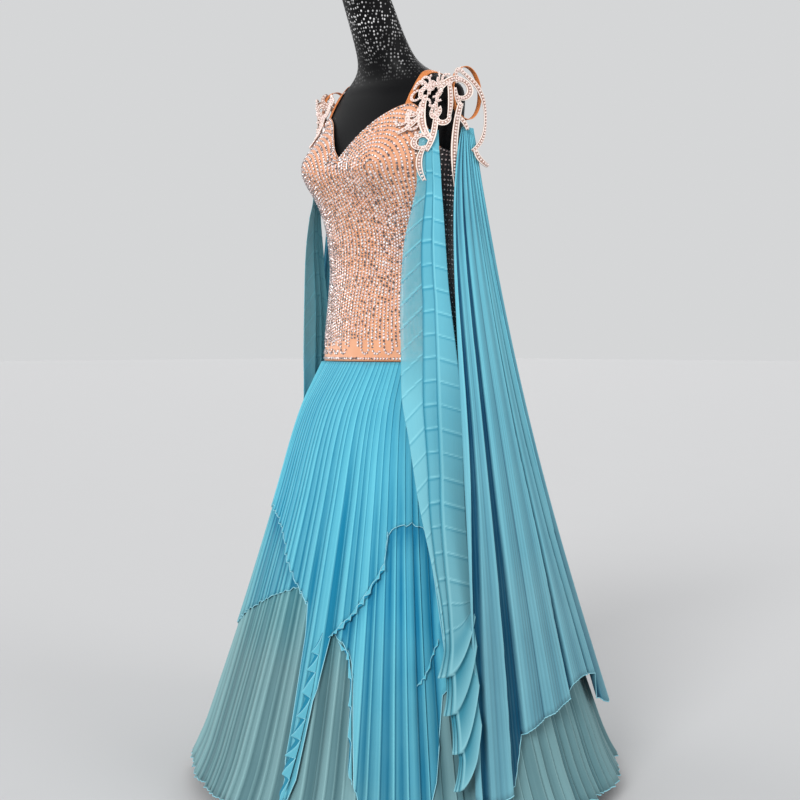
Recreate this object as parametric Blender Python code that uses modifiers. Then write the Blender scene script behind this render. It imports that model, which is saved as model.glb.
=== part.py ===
# Ballroom dance dress on a limbless dress form.
# Metres, +Z up. The front of the dress faces -Y and the wearer's left is +X.
# The origin is the middle of the stand's foot, on the floor.
# Angles round the dress start at the centre front and grow towards the wearer's left.

import math
from collections import namedtuple

import bmesh
import bpy
from mathutils import Matrix, Vector

# Heights above the floor
SEAM_Z = 0.790            # hip seam, where the bodice meets the pleated skirt
FLOOR_HEM_Z = 0.030       # hem of the floor-length layer
FORM_BOTTOM_Z = 0.700
UNDERBUST_Z = 1.080
CUP_Z = 1.145
SHOULDER_EDGE_Z = 1.285   # above it the form slopes in towards the neck

# Walls and clearances
CHIFFON_WALL = 0.0010
BODICE_WALL = 0.0016
ELASTIC_WALL = 0.0012
LACE_WALL = 0.0025
SEAM_GAP = 0.0003         # between pieces that are sewn together
FORM_INSET = 0.0016       # the form stands this far inside the bodice

# Cups, as shaped in the bodice and more modestly in the form
CUP_ANGLE = math.radians(33)
CUP_SPREAD_ANGLE = math.radians(26)
CUP_SPREAD_Z = 0.054
CUP_DEPTH = 0.040
FORM_CUP_SHARE = 0.75

# Pleats: a ridge and a valley each
PLEATS = 48               # in each layer of the skirt; every panel ends on a ridge
PLEAT_DEPTH_SEAM = 0.0005
PLEAT_DEPTH_HEM = 0.0085
SKIRT_TOP_Z = SEAM_Z - 0.0009
LAYER_STEP_SEAM = 0.0017  # from one layer of the skirt to the next
LAYER_STEP_HEM = 0.0046
FIRST_LAYER_CLEAR = 0.0011
FLOOR_GORES = 8
OVERSKIRT_PANELS = ("front", "left", "back", "right")
OVERSKIRT_START = math.radians(-45)

# Bodice panels meet at the side seams
SIDE_SEAM = math.radians(78)

# Stand
POLE_RADIUS = 0.014
FOOT_RADIUS = 0.190
FOOT_HEIGHT = 0.012
HUB_RADIUS = 0.030
HUB_HEIGHT = 0.030

# Straps and arm bands
STRAP_X = 0.105           # the strap runs over the shoulder in this plane
STRAP_WIDTH = 0.012
STRAP_LIFT = 0.0026
STRAP_FRONT_Z = 1.2515
STRAP_BACK_Z = 1.1665
STRAP_RIDGE_SHARE = 0.35  # of the strap's rows lie before the shoulder's ridge
BAND_CENTRE = Vector((0.1708, -0.004, 1.2700))
BAND_HALF_HEIGHT = 0.046
BAND_HALF_DEPTH = 0.036
BAND_WIDTH = 0.008
RING_RADIUS = 0.0050
RING_WIRE = 0.0011

BodySection = namedtuple("BodySection", "z half_width half_depth centre_y")
BODY_SECTIONS = (
    BodySection(0.700, 0.172, 0.124, 0.004),
    BodySection(0.790, 0.165, 0.112, -0.005),
    BodySection(0.850, 0.156, 0.106, -0.010),
    BodySection(0.910, 0.145, 0.100, -0.014),
    BodySection(0.965, 0.137, 0.096, -0.018),
    BodySection(1.030, 0.139, 0.099, -0.023),
    BodySection(1.080, 0.146, 0.106, -0.027),
    BodySection(1.140, 0.152, 0.112, -0.029),
    BodySection(1.200, 0.156, 0.105, -0.023),
    BodySection(1.240, 0.158, 0.094, -0.015),
    BodySection(1.270, 0.159, 0.082, -0.009),
    BodySection(1.290, 0.153, 0.069, -0.007),
    BodySection(1.305, 0.128, 0.062, -0.009),
    BodySection(1.318, 0.101, 0.059, -0.014),
    BodySection(1.332, 0.077, 0.056, -0.022),
    BodySection(1.350, 0.061, 0.053, -0.034),
    BodySection(1.380, 0.053, 0.050, -0.051),
    BodySection(1.430, 0.049, 0.047, -0.076),
    BodySection(1.480, 0.046, 0.045, -0.100),
    BodySection(1.535, 0.044, 0.043, -0.124),
)
NECK_TOP_Z = BODY_SECTIONS[-1].z
NECK_CAP_RISE = 0.012

SkirtSection = namedtuple("SkirtSection", "z half_width half_depth centre_y")
SKIRT_SECTIONS = (
    SkirtSection(0.030, 0.402, 0.396, 0.012),
    SkirtSection(0.294, 0.308, 0.304, 0.008),
    SkirtSection(0.531, 0.243, 0.236, 0.004),
    SkirtSection(0.697, 0.197, 0.178, 0.000),
    SkirtSection(0.790, 0.165, 0.112, -0.005),
)
SKIRT_LEVELS = (SKIRT_TOP_Z, 0.730, 0.610, 0.400)  # rows that all the skirt's layers share
HEM_ROW_STEP = 0.014      # between rows where a hem lies above one of those levels

# Top edge of the bodice, the same on both sides
Neckline = namedtuple("Neckline", "degrees z")
NECKLINE = (
    Neckline(0, 1.156),
    Neckline(6, 1.174),
    Neckline(13, 1.200),
    Neckline(22, 1.226),
    Neckline(32, 1.243),
    Neckline(43, 1.250),
    Neckline(52, 1.238),
    Neckline(63, 1.206),
    Neckline(76, 1.174),
    Neckline(95, 1.167),
    Neckline(130, 1.164),
    Neckline(180, 1.146),
)

# Hems of the two handkerchief layers: long points between short stretches
Hem = namedtuple("Hem", "degrees z")
TOP_HEM = (
    Hem(-180, 0.500),
    Hem(-152, 0.350),
    Hem(-147, 0.100),
    Hem(-142, 0.330),
    Hem(-110, 0.480),
    Hem(-78, 0.420),
    Hem(-57, 0.240),
    Hem(-48, 0.510),
    Hem(-14, 0.488),
    Hem(3, 0.400),
    Hem(11, 0.365),
    Hem(15, 0.080),
    Hem(19, 0.080),
    Hem(22, 0.330),
    Hem(42, 0.490),
    Hem(53, 0.508),
    Hem(57, 0.240),
    Hem(63, 0.420),
    Hem(110, 0.480),
    Hem(142, 0.330),
    Hem(147, 0.100),
    Hem(152, 0.350),
    Hem(180, 0.500),
)
MIDDLE_HEM = (
    Hem(-180, 0.300),
    Hem(-172, 0.340),
    Hem(-130, 0.370),
    Hem(-75, 0.300),
    Hem(-64, 0.250),
    Hem(-31, 0.322),
    Hem(0, 0.395),
    Hem(23, 0.324),
    Hem(30, 0.280),
    Hem(33.75, 0.055),
    Hem(37.5, 0.070),
    Hem(42, 0.260),
    Hem(80, 0.350),
    Hem(130, 0.370),
    Hem(165, 0.340),
    Hem(168.75, 0.075),
    Hem(174, 0.300),
    Hem(180, 0.300),
)

# Front float: its two long edges at each height. The left one hangs in front of the hip
FrontFloat = namedtuple("FrontFloat", "z inner_x inner_y outer_x outer_y")
FRONT_FLOAT = (
    FrontFloat(0.150, 0.336, -0.203, 0.350, -0.170),
    FrontFloat(0.227, 0.316, -0.204, 0.332, -0.158),
    FrontFloat(0.386, 0.269, -0.178, 0.292, -0.125),
    FrontFloat(0.550, 0.211, -0.166, 0.250, -0.092),
    FrontFloat(0.654, 0.168, -0.146, 0.226, -0.070),
    FrontFloat(0.723, 0.142, -0.137, 0.214, -0.060),
    FrontFloat(0.810, 0.112, -0.110, 0.200, -0.055),
    FrontFloat(0.910, 0.105, -0.103, 0.188, -0.055),
    FrontFloat(1.000, 0.111, -0.100, 0.175, -0.058),
    FrontFloat(1.060, 0.126, -0.0960, 0.165, -0.056),
    FrontFloat(1.100, 0.1345, -0.0920, 0.157, -0.055),
    FrontFloat(1.135, 0.138, -0.0990, 0.156, -0.058),
    FrontFloat(1.165, 0.138, -0.0930, 0.153, -0.058),
    FrontFloat(1.196, 0.1365, -0.0865, 0.152, -0.0575),
)
# The right one is swept round to the side. It has the left side's signs and is mirrored
FRONT_FLOAT_SWEPT = (
    FrontFloat(0.150, 0.391, -0.027, 0.392, 0.010),
    FrontFloat(0.227, 0.370, -0.030, 0.372, 0.022),
    FrontFloat(0.386, 0.318, -0.036, 0.322, 0.030),
    FrontFloat(0.550, 0.262, -0.044, 0.270, 0.045),
    FrontFloat(0.654, 0.226, -0.052, 0.238, 0.040),
    FrontFloat(0.723, 0.206, -0.064, 0.216, 0.028),
    FrontFloat(0.810, 0.198, -0.070, 0.207, 0.020),
    FrontFloat(0.910, 0.187, -0.075, 0.201, 0.008),
    FrontFloat(1.000, 0.177, -0.078, 0.194, -0.010),
    FrontFloat(1.060, 0.146, -0.094, 0.174, -0.038),
    FrontFloat(1.100, 0.1345, -0.092, 0.157, -0.055),
    FrontFloat(1.135, 0.138, -0.099, 0.156, -0.058),
    FrontFloat(1.165, 0.138, -0.093, 0.153, -0.058),
    FrontFloat(1.196, 0.1365, -0.0865, 0.152, -0.0575),
)
FLOAT_LIFT = 0.0048       # at least this far off the bodice's mean surface
FLOAT_TOP_LIFT = 0.0024   # where it is sewn on
# Where its strips fold, as a share of its width, and how far each fold stands out
Fold = namedtuple("Fold", "share depth")
FRONT_FLOAT_FOLDS = (
    Fold(0.00, 0.000),
    Fold(0.16, 0.005),
    Fold(0.32, 0.002),
    Fold(0.44, 0.007),
    Fold(0.52, -0.007),
    Fold(0.60, 0.007),
    Fold(0.74, 0.004),
    Fold(0.86, 0.008),
    Fold(1.00, 0.000),
)

# Back float: it fans from the arm band to a wide arc at the hem
BACK_FLOAT_TOP = Vector((0.169, 0.002, 1.2105))
BACK_FLOAT_TOP_WIDTH = 0.030
BACK_FLOAT_RADIUS = 0.400
BACK_FLOAT_DRAW_IN = 0.75  # a shorter fold ends this much nearer, as a share for each metre
BACK_FLOAT_BOW = 0.028     # how far the left one's front edge bows forward
BACK_FLOAT_BOW_SHARE = 0.2  # how far down its bow is fullest
BACK_FLOAT_SWEEP = 33      # how many degrees further back the right one hangs
BACK_FLOAT_CENTRE_Y = 0.010
BACK_FLOAT_ROWS = 5
BackFold = namedtuple("BackFold", "degrees depth hem_z")
BACK_FOLDS = (
    BackFold(64, 0.000, 0.075),
    BackFold(67, 0.016, 0.076),
    BackFold(70, 0.000, 0.078),
    BackFold(73, 0.016, 0.080),
    BackFold(76, 0.001, 0.085),
    BackFold(79, 0.010, 0.105),
    BackFold(82, 0.000, 0.150),
    BackFold(86, 0.014, 0.160),
    BackFold(90, 0.001, 0.168),
    BackFold(94, 0.013, 0.174),
    BackFold(98, 0.001, 0.182),
    BackFold(102, 0.014, 0.190),
    BackFold(106, 0.001, 0.200),
    BackFold(110, 0.015, 0.205),
    BackFold(114, 0.001, 0.200),
    BackFold(118, 0.012, 0.192),
    BackFold(122, 0.001, 0.182),
    BackFold(126, 0.010, 0.172),
    BackFold(130, 0.000, 0.160),
    BackFold(134, 0.005, 0.150),
    BackFold(138, 0.000, 0.142),
)

# Corded lace scrolls of the shoulder, for the wearer's left: each is an arc whose radius changes
# from start to end, in millimetres from the lace's middle; x runs towards the arm, z up
Scroll = namedtuple("Scroll", "x z start_radius end_radius start_angle sweep width")
LACE_MIDDLE_ANGLE = math.radians(73)
LACE_MIDDLE_Z = 1.232
LACE_ARC_RADIUS = 0.140   # turns a distance along the lace into an angle round the shoulder
LACE_CHEST_LIFT = 0.0067
LACE_LEAVES_CHEST = -34
LACE_REACHES_ARM = 4
LacePath = namedtuple("LacePath", "reach x y")
LACE_ARM_PATH = (         # where the lace runs outside the arm band, seen from above
    LacePath(-35, 0.141, -0.090),
    LacePath(0, 0.166, -0.062),
    LacePath(15, 0.1745, -0.048),
    LacePath(30, 0.1739, -0.031),
    LacePath(50, 0.1785, -0.008),
    LacePath(65, 0.1830, 0.012),
    LacePath(80, 0.1815, 0.034),
    LacePath(101, 0.1740, 0.053),
)
LACE_LIFT_STEP = 0.0008   # every other scroll lies this much higher, so that they lap
LACE_SCROLLS = (
    Scroll(60, 30, 110, 110, 179, 48, 11),
    Scroll(-50, 37, 12, 12, 60, 205, 8),
    Scroll(-33, 38, 13, 13, 10, 200, 8),
    Scroll(-16, 39, 12, 12, 200, 300, 8),
    Scroll(-62, 4, 10, 10, 40, -230, 7),
    Scroll(-110, 12, 65, 65, -6, -48, 8),
    Scroll(-160, -20, 148, 148, 21, -41, 9),
    Scroll(-16, 2, 11, 11, 100, 290, 8),
    Scroll(1, -10, 11, 11, 165, 205, 8),
    Scroll(-120, 20, 134, 134, -13, 27, 8),
    Scroll(-29, -55, 13, 11, 20, 300, 8),
    Scroll(60, -90, 88, 88, 162, 40, 7),
    Scroll(35, 15, 45, 45, 160, -78, 9),
    Scroll(37, 40, 18, 14, 135, -250, 9),
    Scroll(70, 40, 45, 42, 176, 48, 8),
    Scroll(322, -75, 300, 300, 162, 30, 13),
    Scroll(20, -35, 30, 30, 80, -68, 7),
    Scroll(34, 68, 8, 8, 0, 310, 6),
    Scroll(-5, -5, 89, 87, 67, -111, 8),
    Scroll(90, -60, 28, 26, 186, 100, 9),
)
SCROLL_STEP = 45          # at most this many degrees of sweep in one segment
SCROLL_LENGTH = 20        # and at most this many millimetres


def table_value(rows, column, at):
    """A column's value at a height or an angle, on a smooth curve through the table's rows."""
    keys = [row[0] for row in rows]
    values = [getattr(row, column) for row in rows]
    if at <= keys[0]:
        return values[0]
    if at >= keys[-1]:
        return values[-1]
    i = max(k for k in range(len(keys) - 1) if keys[k] <= at)
    slopes = []
    for k in (i, i + 1):
        before, after = max(k - 1, 0), min(k + 1, len(keys) - 1)
        slopes.append((values[after] - values[before]) / (keys[after] - keys[before]))
    step = keys[i + 1] - keys[i]
    t = (at - keys[i]) / step
    start_share = 2 * t**3 - 3 * t**2 + 1
    return (
        start_share * values[i]
        + (1 - start_share) * values[i + 1]
        + (t**3 - 2 * t**2 + t) * step * slopes[0]
        + (t**3 - t**2) * step * slopes[1]
    )


def line_value(rows, column, at):
    """A column's value on straight lines between the table's rows."""
    for low, high in zip(rows, rows[1:]):
        if low[0] <= at <= high[0]:
            share = (at - low[0]) / (high[0] - low[0])
            return getattr(low, column) * (1 - share) + getattr(high, column) * share
    return getattr(rows[0 if at < rows[0][0] else -1], column)


def smooth_share(value, low, high):
    """0 below low, 1 above high, and an even curve between them."""
    t = min(1.0, max(0.0, (value - low) / (high - low)))
    return t * t * (3 - 2 * t)


def cup_bulge(angle, z):
    """How far the two cups stand out of the bodice, as a share of their depth."""
    up = math.exp(-(((z - CUP_Z) / CUP_SPREAD_Z) ** 2))
    return sum(
        up * math.exp(-(((angle - side * CUP_ANGLE) / CUP_SPREAD_ANGLE) ** 2))
        for side in (-1, 1)
    )


def wrapped(angle):
    """The same angle between -180 and 180 degrees."""
    return (angle + math.pi) % (2 * math.pi) - math.pi


def body_point(angle, z, lift, cup_share=1.0):
    """A point on the general figure's surface, moved out by lift."""
    half_width = table_value(BODY_SECTIONS, "half_width", z) + lift
    half_depth = table_value(BODY_SECTIONS, "half_depth", z) + lift
    centre_y = table_value(BODY_SECTIONS, "centre_y", z)
    cup = CUP_DEPTH * cup_share * cup_bulge(wrapped(angle), z)
    return Vector(
        (
            (half_width + 0.25 * cup) * math.sin(angle),
            centre_y - half_depth * math.cos(angle) - cup,
            z,
        )
    )


def skirt_value(column, z):
    """A column of the skirt's table, straight between the levels that have a row of points."""
    levels = (*SKIRT_LEVELS, FLOOR_HEM_Z)
    high, low = next((a, b) for a, b in zip(levels, levels[1:]) if z >= b - 1e-9)
    share = (high - z) / (high - low)
    at_high = table_value(SKIRT_SECTIONS, column, high)
    at_low = table_value(SKIRT_SECTIONS, column, low)
    return at_high * (1 - share) + at_low * share


def skirt_point(angle, z, lift):
    """A point on the skirt's mean surface, moved out by lift."""
    half_width = skirt_value("half_width", z) + lift
    half_depth = skirt_value("half_depth", z) + lift
    centre_y = skirt_value("centre_y", z)
    return Vector((half_width * math.sin(angle), centre_y - half_depth * math.cos(angle), z))


def principled(name, colour, roughness, metallic=0.0):
    material = bpy.data.materials.new(name)
    material.use_nodes = True
    shader = material.node_tree.nodes["Principled BSDF"]
    shader.inputs["Base Color"].default_value = (*colour, 1.0)
    shader.inputs["Roughness"].default_value = roughness
    shader.inputs["Metallic"].default_value = metallic
    return material


def add_object(name, data, material, collection):
    made = bpy.data.objects.new(name, data)
    data.materials.append(material)
    collection.objects.link(made)
    return made


def cloth_wall(name, surface, columns, rows, wall, material, collection, reverse=False):
    """A grid laid on surface(u, v), u along the cloth and v up it, with its wall outside it."""
    grid = bmesh.new()
    bmesh.ops.create_grid(grid, x_segments=columns, y_segments=rows, size=0.5)
    for vert in grid.verts:
        vert.co = surface(vert.co.x + 0.5, vert.co.y + 0.5)
    if reverse:
        bmesh.ops.reverse_faces(grid, faces=grid.faces)
    mesh = bpy.data.meshes.new(name)
    grid.to_mesh(mesh)
    grid.free()
    made = add_object(name, mesh, material, collection)
    thick = made.modifiers.new("Wall", "SOLIDIFY")
    thick.thickness = wall
    thick.offset = 1.0
    thick.use_even_offset = True
    return made


def mirror_copy(name, original, material, collection):
    """The same piece on the other side of the dress."""
    bpy.context.view_layer.update()
    evaluated = original.evaluated_get(bpy.context.evaluated_depsgraph_get())
    mesh = bpy.data.meshes.new_from_object(evaluated)
    mesh.name = name
    mesh.transform(Matrix.Scale(-1, 4, (1, 0, 0)) @ original.matrix_world)
    mesh.flip_normals()
    mesh.materials.clear()
    return add_object(name, mesh, material, collection)


def bodice_panel(name, start, end, columns, upper_rows, material, collection):
    """A bodice panel from the hip seam up to the neckline."""
    lower_levels = (SEAM_Z + SEAM_GAP, 0.850, 0.910, 0.965, 1.020, UNDERBUST_Z)
    lower_rows = len(lower_levels) - 1
    rows = lower_rows + upper_rows

    def surface(u, v):
        angle = start + (end - start) * u
        side_of_seam = 1 if u < 0.001 else -1 if u > 0.999 else 0
        row = round(v * rows)
        top = table_value(NECKLINE, "z", abs(math.degrees(wrapped(angle))))
        if row <= lower_rows:
            z = lower_levels[row]
        else:
            z = UNDERBUST_Z + (top - UNDERBUST_Z) * (row - lower_rows) / upper_rows
        radius = body_point(angle, z, 0).xy.length
        return body_point(angle + side_of_seam * SEAM_GAP / 2 / radius, z, 0)

    return cloth_wall(name, surface, columns, rows, BODICE_WALL, material, collection)


def skirt_panel(name, first_column, columns, layer, hem, material, collection):
    """A pleated panel of one layer of the skirt, from the hip seam down to its hem."""
    column_angle = math.pi / PLEATS
    rows = len(SKIRT_LEVELS)

    def surface(u, v):
        column = round(u * columns)
        angle = OVERSKIRT_START + (first_column + column) * column_angle
        row = round((1 - v) * rows)
        z = hem(math.degrees(wrapped(angle)))
        if row < rows:
            z = max(SKIRT_LEVELS[row], z + HEM_ROW_STEP * (rows - row))
        drop = (SKIRT_TOP_Z - z) / (SKIRT_TOP_Z - FLOOR_HEM_Z)
        fold = -1 if (first_column + column) % 2 else 1
        depth = PLEAT_DEPTH_SEAM + (PLEAT_DEPTH_HEM - PLEAT_DEPTH_SEAM) * drop
        step = LAYER_STEP_SEAM + (LAYER_STEP_HEM - LAYER_STEP_SEAM) * drop
        lift = FIRST_LAYER_CLEAR + layer * step + fold * depth
        side_of_seam = 1 if column == 0 else -1 if column == columns else 0
        radius = skirt_point(angle, z, lift).xy.length
        return skirt_point(angle + side_of_seam * SEAM_GAP / radius, z, lift)

    return cloth_wall(name, surface, columns, rows, CHIFFON_WALL, material, collection)


def add_skirt(material, collection):
    """The floor-length layer in gores, then the two handkerchief layers over it."""
    gore_columns = 2 * PLEATS // FLOOR_GORES
    for gore in range(FLOOR_GORES):
        skirt_panel(
            f"skirt_floor_gore_{gore + 1}",
            gore * gore_columns,
            gore_columns,
            0,
            lambda degrees: FLOOR_HEM_Z,
            material,
            collection,
        )
    panel_columns = 2 * PLEATS // len(OVERSKIRT_PANELS)
    for layer, (layer_name, hem_rows) in enumerate((("middle", MIDDLE_HEM), ("top", TOP_HEM)), 1):
        for number, place in enumerate(OVERSKIRT_PANELS):
            skirt_panel(
                f"skirt_{layer_name}_{place}",
                number * panel_columns,
                panel_columns,
                layer,
                lambda degrees, hem_rows=hem_rows: line_value(hem_rows, "z", degrees),
                material,
                collection,
            )


def add_form(material, metal, collection):
    """Torso and neck in one smooth closed shape, on a pole and a round foot."""
    levels = (
        0.700, 0.745, 0.790, 0.850, 0.910, 0.965, 1.020, 1.080, 1.112, 1.145, 1.178, 1.210, 1.240,
        1.266, 1.286, 1.298, 1.308, 1.320, 1.334, 1.352, 1.380, 1.430, 1.485, 1.535,
    )
    rings = len(levels)
    ball = bmesh.new()
    bmesh.ops.create_uvsphere(ball, u_segments=28, v_segments=rings + 1, radius=1.0)
    for vert in ball.verts:
        ring = round(math.acos(max(-1.0, min(1.0, vert.co.z))) / math.pi * (rings + 1))
        if ring == 0:
            centre = body_point(0, NECK_TOP_Z, 0)
            back = body_point(math.pi, NECK_TOP_Z, 0)
            vert.co = (centre + back) / 2 + Vector((0, 0, NECK_CAP_RISE))
        elif ring == rings + 1:
            vert.co = (0, 0, FORM_BOTTOM_Z)
        else:
            angle = math.atan2(vert.co.x, -vert.co.y)
            vert.co = body_point(angle, levels[rings - ring], -FORM_INSET, FORM_CUP_SHARE)
    mesh = bpy.data.meshes.new("dress_form")
    ball.to_mesh(mesh)
    ball.free()
    mesh.shade_smooth()
    add_object("dress_form", mesh, material, collection)

    pole_bottom = HUB_HEIGHT + SEAM_GAP
    pole_top = FORM_BOTTOM_Z - SEAM_GAP
    bpy.ops.mesh.primitive_cylinder_add(
        vertices=24,
        radius=POLE_RADIUS,
        depth=pole_top - pole_bottom,
        location=(0, 0, (pole_top + pole_bottom) / 2),
    )
    rename_new("stand_pole", metal, collection)

    profile = (
        (0, HUB_HEIGHT),
        (HUB_RADIUS, HUB_HEIGHT),
        (HUB_RADIUS, FOOT_HEIGHT),
        (FOOT_RADIUS - 0.006, FOOT_HEIGHT),
        (FOOT_RADIUS, FOOT_HEIGHT - 0.005),
        (FOOT_RADIUS, 0),
        (0, 0),
    )
    outline = bmesh.new()
    corners = [outline.verts.new((x, 0, z)) for x, z in profile]
    for first, second in zip(corners, corners[1:]):
        outline.edges.new((first, second))
    mesh = bpy.data.meshes.new("stand_foot")
    outline.to_mesh(mesh)
    outline.free()
    foot = add_object("stand_foot", mesh, metal, collection)
    turn = foot.modifiers.new("Turn", "SCREW")
    turn.steps = 40
    turn.render_steps = 40
    turn.use_merge_vertices = True
    turn.merge_threshold = 0.0001


def rename_new(name, material, collection):
    """Names the object that an operator has just made, and moves it into the collection."""
    made = bpy.context.object
    made.name = name
    made.data.name = name
    made.data.materials.append(material)
    for holder in list(made.users_collection):
        holder.objects.unlink(made)
    collection.objects.link(made)
    return made


def shoulder_ridge_z(x):
    """The height at which the strap crosses from the form's front to its back, at x."""
    low, high = SHOULDER_EDGE_Z, NECK_TOP_Z
    for _ in range(24):
        middle = (low + high) / 2
        if table_value(BODY_SECTIONS, "half_width", middle) + STRAP_LIFT > x:
            low = middle
        else:
            high = middle
    return low


def strap_point(across, share):
    """A point of the left strap: across its width, and a share of the way from front to back."""
    x = STRAP_X + across
    ridge_z = shoulder_ridge_z(x)
    if share < STRAP_RIDGE_SHARE:
        rise = math.sin(share / STRAP_RIDGE_SHARE * math.pi / 2)
        z = STRAP_FRONT_Z + (ridge_z - STRAP_FRONT_Z) * rise
        facing = -1
    else:
        fall = 1 - math.cos((share - STRAP_RIDGE_SHARE) / (1 - STRAP_RIDGE_SHARE) * math.pi / 2)
        z = ridge_z - (ridge_z - STRAP_BACK_Z) * fall
        facing = 1
    half_width = table_value(BODY_SECTIONS, "half_width", z) + STRAP_LIFT
    half_depth = table_value(BODY_SECTIONS, "half_depth", z) + STRAP_LIFT
    reach = math.sqrt(max(0.0, 1 - (x / half_width) ** 2))
    cup = CUP_DEPTH * cup_bulge(CUP_ANGLE, z) if facing < 0 else 0
    y = table_value(BODY_SECTIONS, "centre_y", z) + facing * half_depth * reach - cup
    return Vector((x, y, z))


def add_strap(name, material, collection):
    """A flat elastic strap over the left shoulder."""
    return cloth_wall(
        name,
        lambda u, v: strap_point((u - 0.5) * STRAP_WIDTH, v),
        1,
        22,
        ELASTIC_WALL,
        material,
        collection,
        reverse=True,
    )


def add_band(name, material, collection):
    """The elastic loop that goes round the left upper arm."""
    bpy.ops.curve.primitive_bezier_circle_add(radius=1.0, location=BAND_CENTRE)
    band = bpy.context.object
    band.scale = (BAND_HALF_HEIGHT, BAND_HALF_DEPTH, 1)
    bpy.ops.object.transform_apply(location=False, rotation=False, scale=True)
    band.rotation_euler = (0, math.radians(90), 0)
    band.data.resolution_u = 5
    band.data.extrude = BAND_WIDTH / 2
    band.data.bevel_depth = ELASTIC_WALL / 2
    band.data.bevel_resolution = 0
    return rename_new(name, material, collection)


def add_ring(name, material, collection):
    """The small ring under the left arm band, which the back float hangs on."""
    drop = BAND_HALF_HEIGHT + ELASTIC_WALL / 2 + RING_RADIUS + RING_WIRE + SEAM_GAP
    bpy.ops.mesh.primitive_torus_add(
        major_radius=RING_RADIUS,
        minor_radius=RING_WIRE,
        major_segments=14,
        minor_segments=5,
        location=BAND_CENTRE - Vector((0, 0, drop)),
        rotation=(0, math.radians(90), math.radians(35)),
    )
    return rename_new(name, material, collection)


def lace_point(reach, rise, lift):
    """A point of the left shoulder's lace, from millimetres in its own plane."""
    z = LACE_MIDDLE_Z + rise / 1000
    angle = LACE_MIDDLE_ANGLE + reach / 1000 / LACE_ARC_RADIUS
    chest = body_point(angle, min(z, SHOULDER_EDGE_Z), LACE_CHEST_LIFT + lift)
    chest.z = z
    x = table_value(LACE_ARM_PATH, "x", reach) + lift
    y = table_value(LACE_ARM_PATH, "y", reach)
    return chest.lerp(Vector((x, y, z)), smooth_share(reach, LACE_LEAVES_CHEST, LACE_REACHES_ARM))


def add_lace(name, material, collection, cutters):
    """Corded lace: scrolls that lap one another, joined into one piece with open gaps."""
    whole = None
    for number, scroll in enumerate(LACE_SCROLLS):
        lift = LACE_LIFT_STEP * (number % 2)
        length = math.radians(abs(scroll.sweep)) * scroll.start_radius
        segments = max(3, round(abs(scroll.sweep) / SCROLL_STEP), round(length / SCROLL_LENGTH))

        def surface(u, v, scroll=scroll, lift=lift):
            turn = math.radians(scroll.start_angle + scroll.sweep * v)
            radius = scroll.start_radius + (scroll.end_radius - scroll.start_radius) * v
            width = scroll.width * (0.55 + 0.45 * math.sin(math.pi * v))
            radius += (u - 0.5) * width
            x = scroll.x + radius * math.cos(turn)
            z = scroll.z + radius * math.sin(turn)
            return lace_point(x, z, lift)

        part_name = name if whole is None else f"{name}_scroll_{number}"
        home = collection if whole is None else cutters
        piece = cloth_wall(
            part_name, surface, 1, segments, LACE_WALL, material, home, reverse=scroll.sweep < 0
        )
        if whole is None:
            whole = piece
            continue
        piece.hide_render = True
        piece.display_type = "WIRE"
        join = whole.modifiers.new(f"Join {number}", "BOOLEAN")
        join.operation = "UNION"
        join.solver = "EXACT"
        join.object = piece
    return whole


def clear_of_body(point, lift, seated=False):
    """The point itself, or if it is nearer than lift, or seated, the place at lift under it."""
    centre_y = table_value(BODY_SECTIONS, "centre_y", point.z)
    half_width = table_value(BODY_SECTIONS, "half_width", point.z)
    half_depth = table_value(BODY_SECTIONS, "half_depth", point.z)
    angle = math.atan2(point.x / half_width, (centre_y - point.y) / half_depth)
    nearest = body_point(angle, point.z, lift)
    own_reach = (point.xy - Vector((0, centre_y))).length
    least_reach = (nearest.xy - Vector((0, centre_y))).length
    return nearest if seated or own_reach < least_reach else point


def add_front_float(name, material, collection, edges=FRONT_FLOAT):
    """The narrow folded panel that hangs from the front of the left arm."""
    folds = FRONT_FLOAT_FOLDS
    columns, rows = len(folds) - 1, len(edges) - 1

    def surface(u, v):
        row = edges[round(v * rows)]
        z = row.z
        inner = Vector((row.inner_x, row.inner_y, z))
        outer = Vector((row.outer_x, row.outer_y, z))
        fold = folds[round(u * columns)]
        along = (outer - inner).normalized()
        out = Vector((along.y, -along.x, 0))
        full = smooth_share(edges[-1].z - z, 0.08, 0.30)
        point = inner.lerp(outer, fold.share) + out * fold.depth * full
        if row is edges[-1]:
            return clear_of_body(point, FLOAT_TOP_LIFT, seated=True)
        return clear_of_body(point, FLOAT_LIFT) if z > SEAM_Z else point

    return cloth_wall(name, surface, columns, rows, CHIFFON_WALL, material, collection)


def add_back_float(name, material, collection, sweep=0, bow=BACK_FLOAT_BOW):
    """The wide panel that fans from the left arm band to the hem, over the side of the skirt."""
    folds = BACK_FOLDS
    columns = len(folds) - 1

    def surface(u, v):
        column = round(u * columns)
        fold = folds[column]
        angle = math.radians(fold.degrees + sweep)
        out = Vector((math.sin(angle), -math.cos(angle), 0))
        top = BACK_FLOAT_TOP + Vector((0, 1, 0)) * (column / columns - 0.5) * BACK_FLOAT_TOP_WIDTH
        reach = BACK_FLOAT_RADIUS * (1 - BACK_FLOAT_DRAW_IN * (fold.hem_z - folds[0].hem_z))
        foot = out * reach + Vector((0, BACK_FLOAT_CENTRE_Y, fold.hem_z))
        down = 1 - v
        fullness = down / BACK_FLOAT_BOW_SHARE
        forward = Vector((0, -1, 0)) * bow * (1 - u) ** 2 * fullness * math.exp(1 - fullness)
        return top.lerp(foot, down) + out * fold.depth * down**0.8 + forward

    return cloth_wall(name, surface, columns, BACK_FLOAT_ROWS, CHIFFON_WALL, material, collection)


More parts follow.
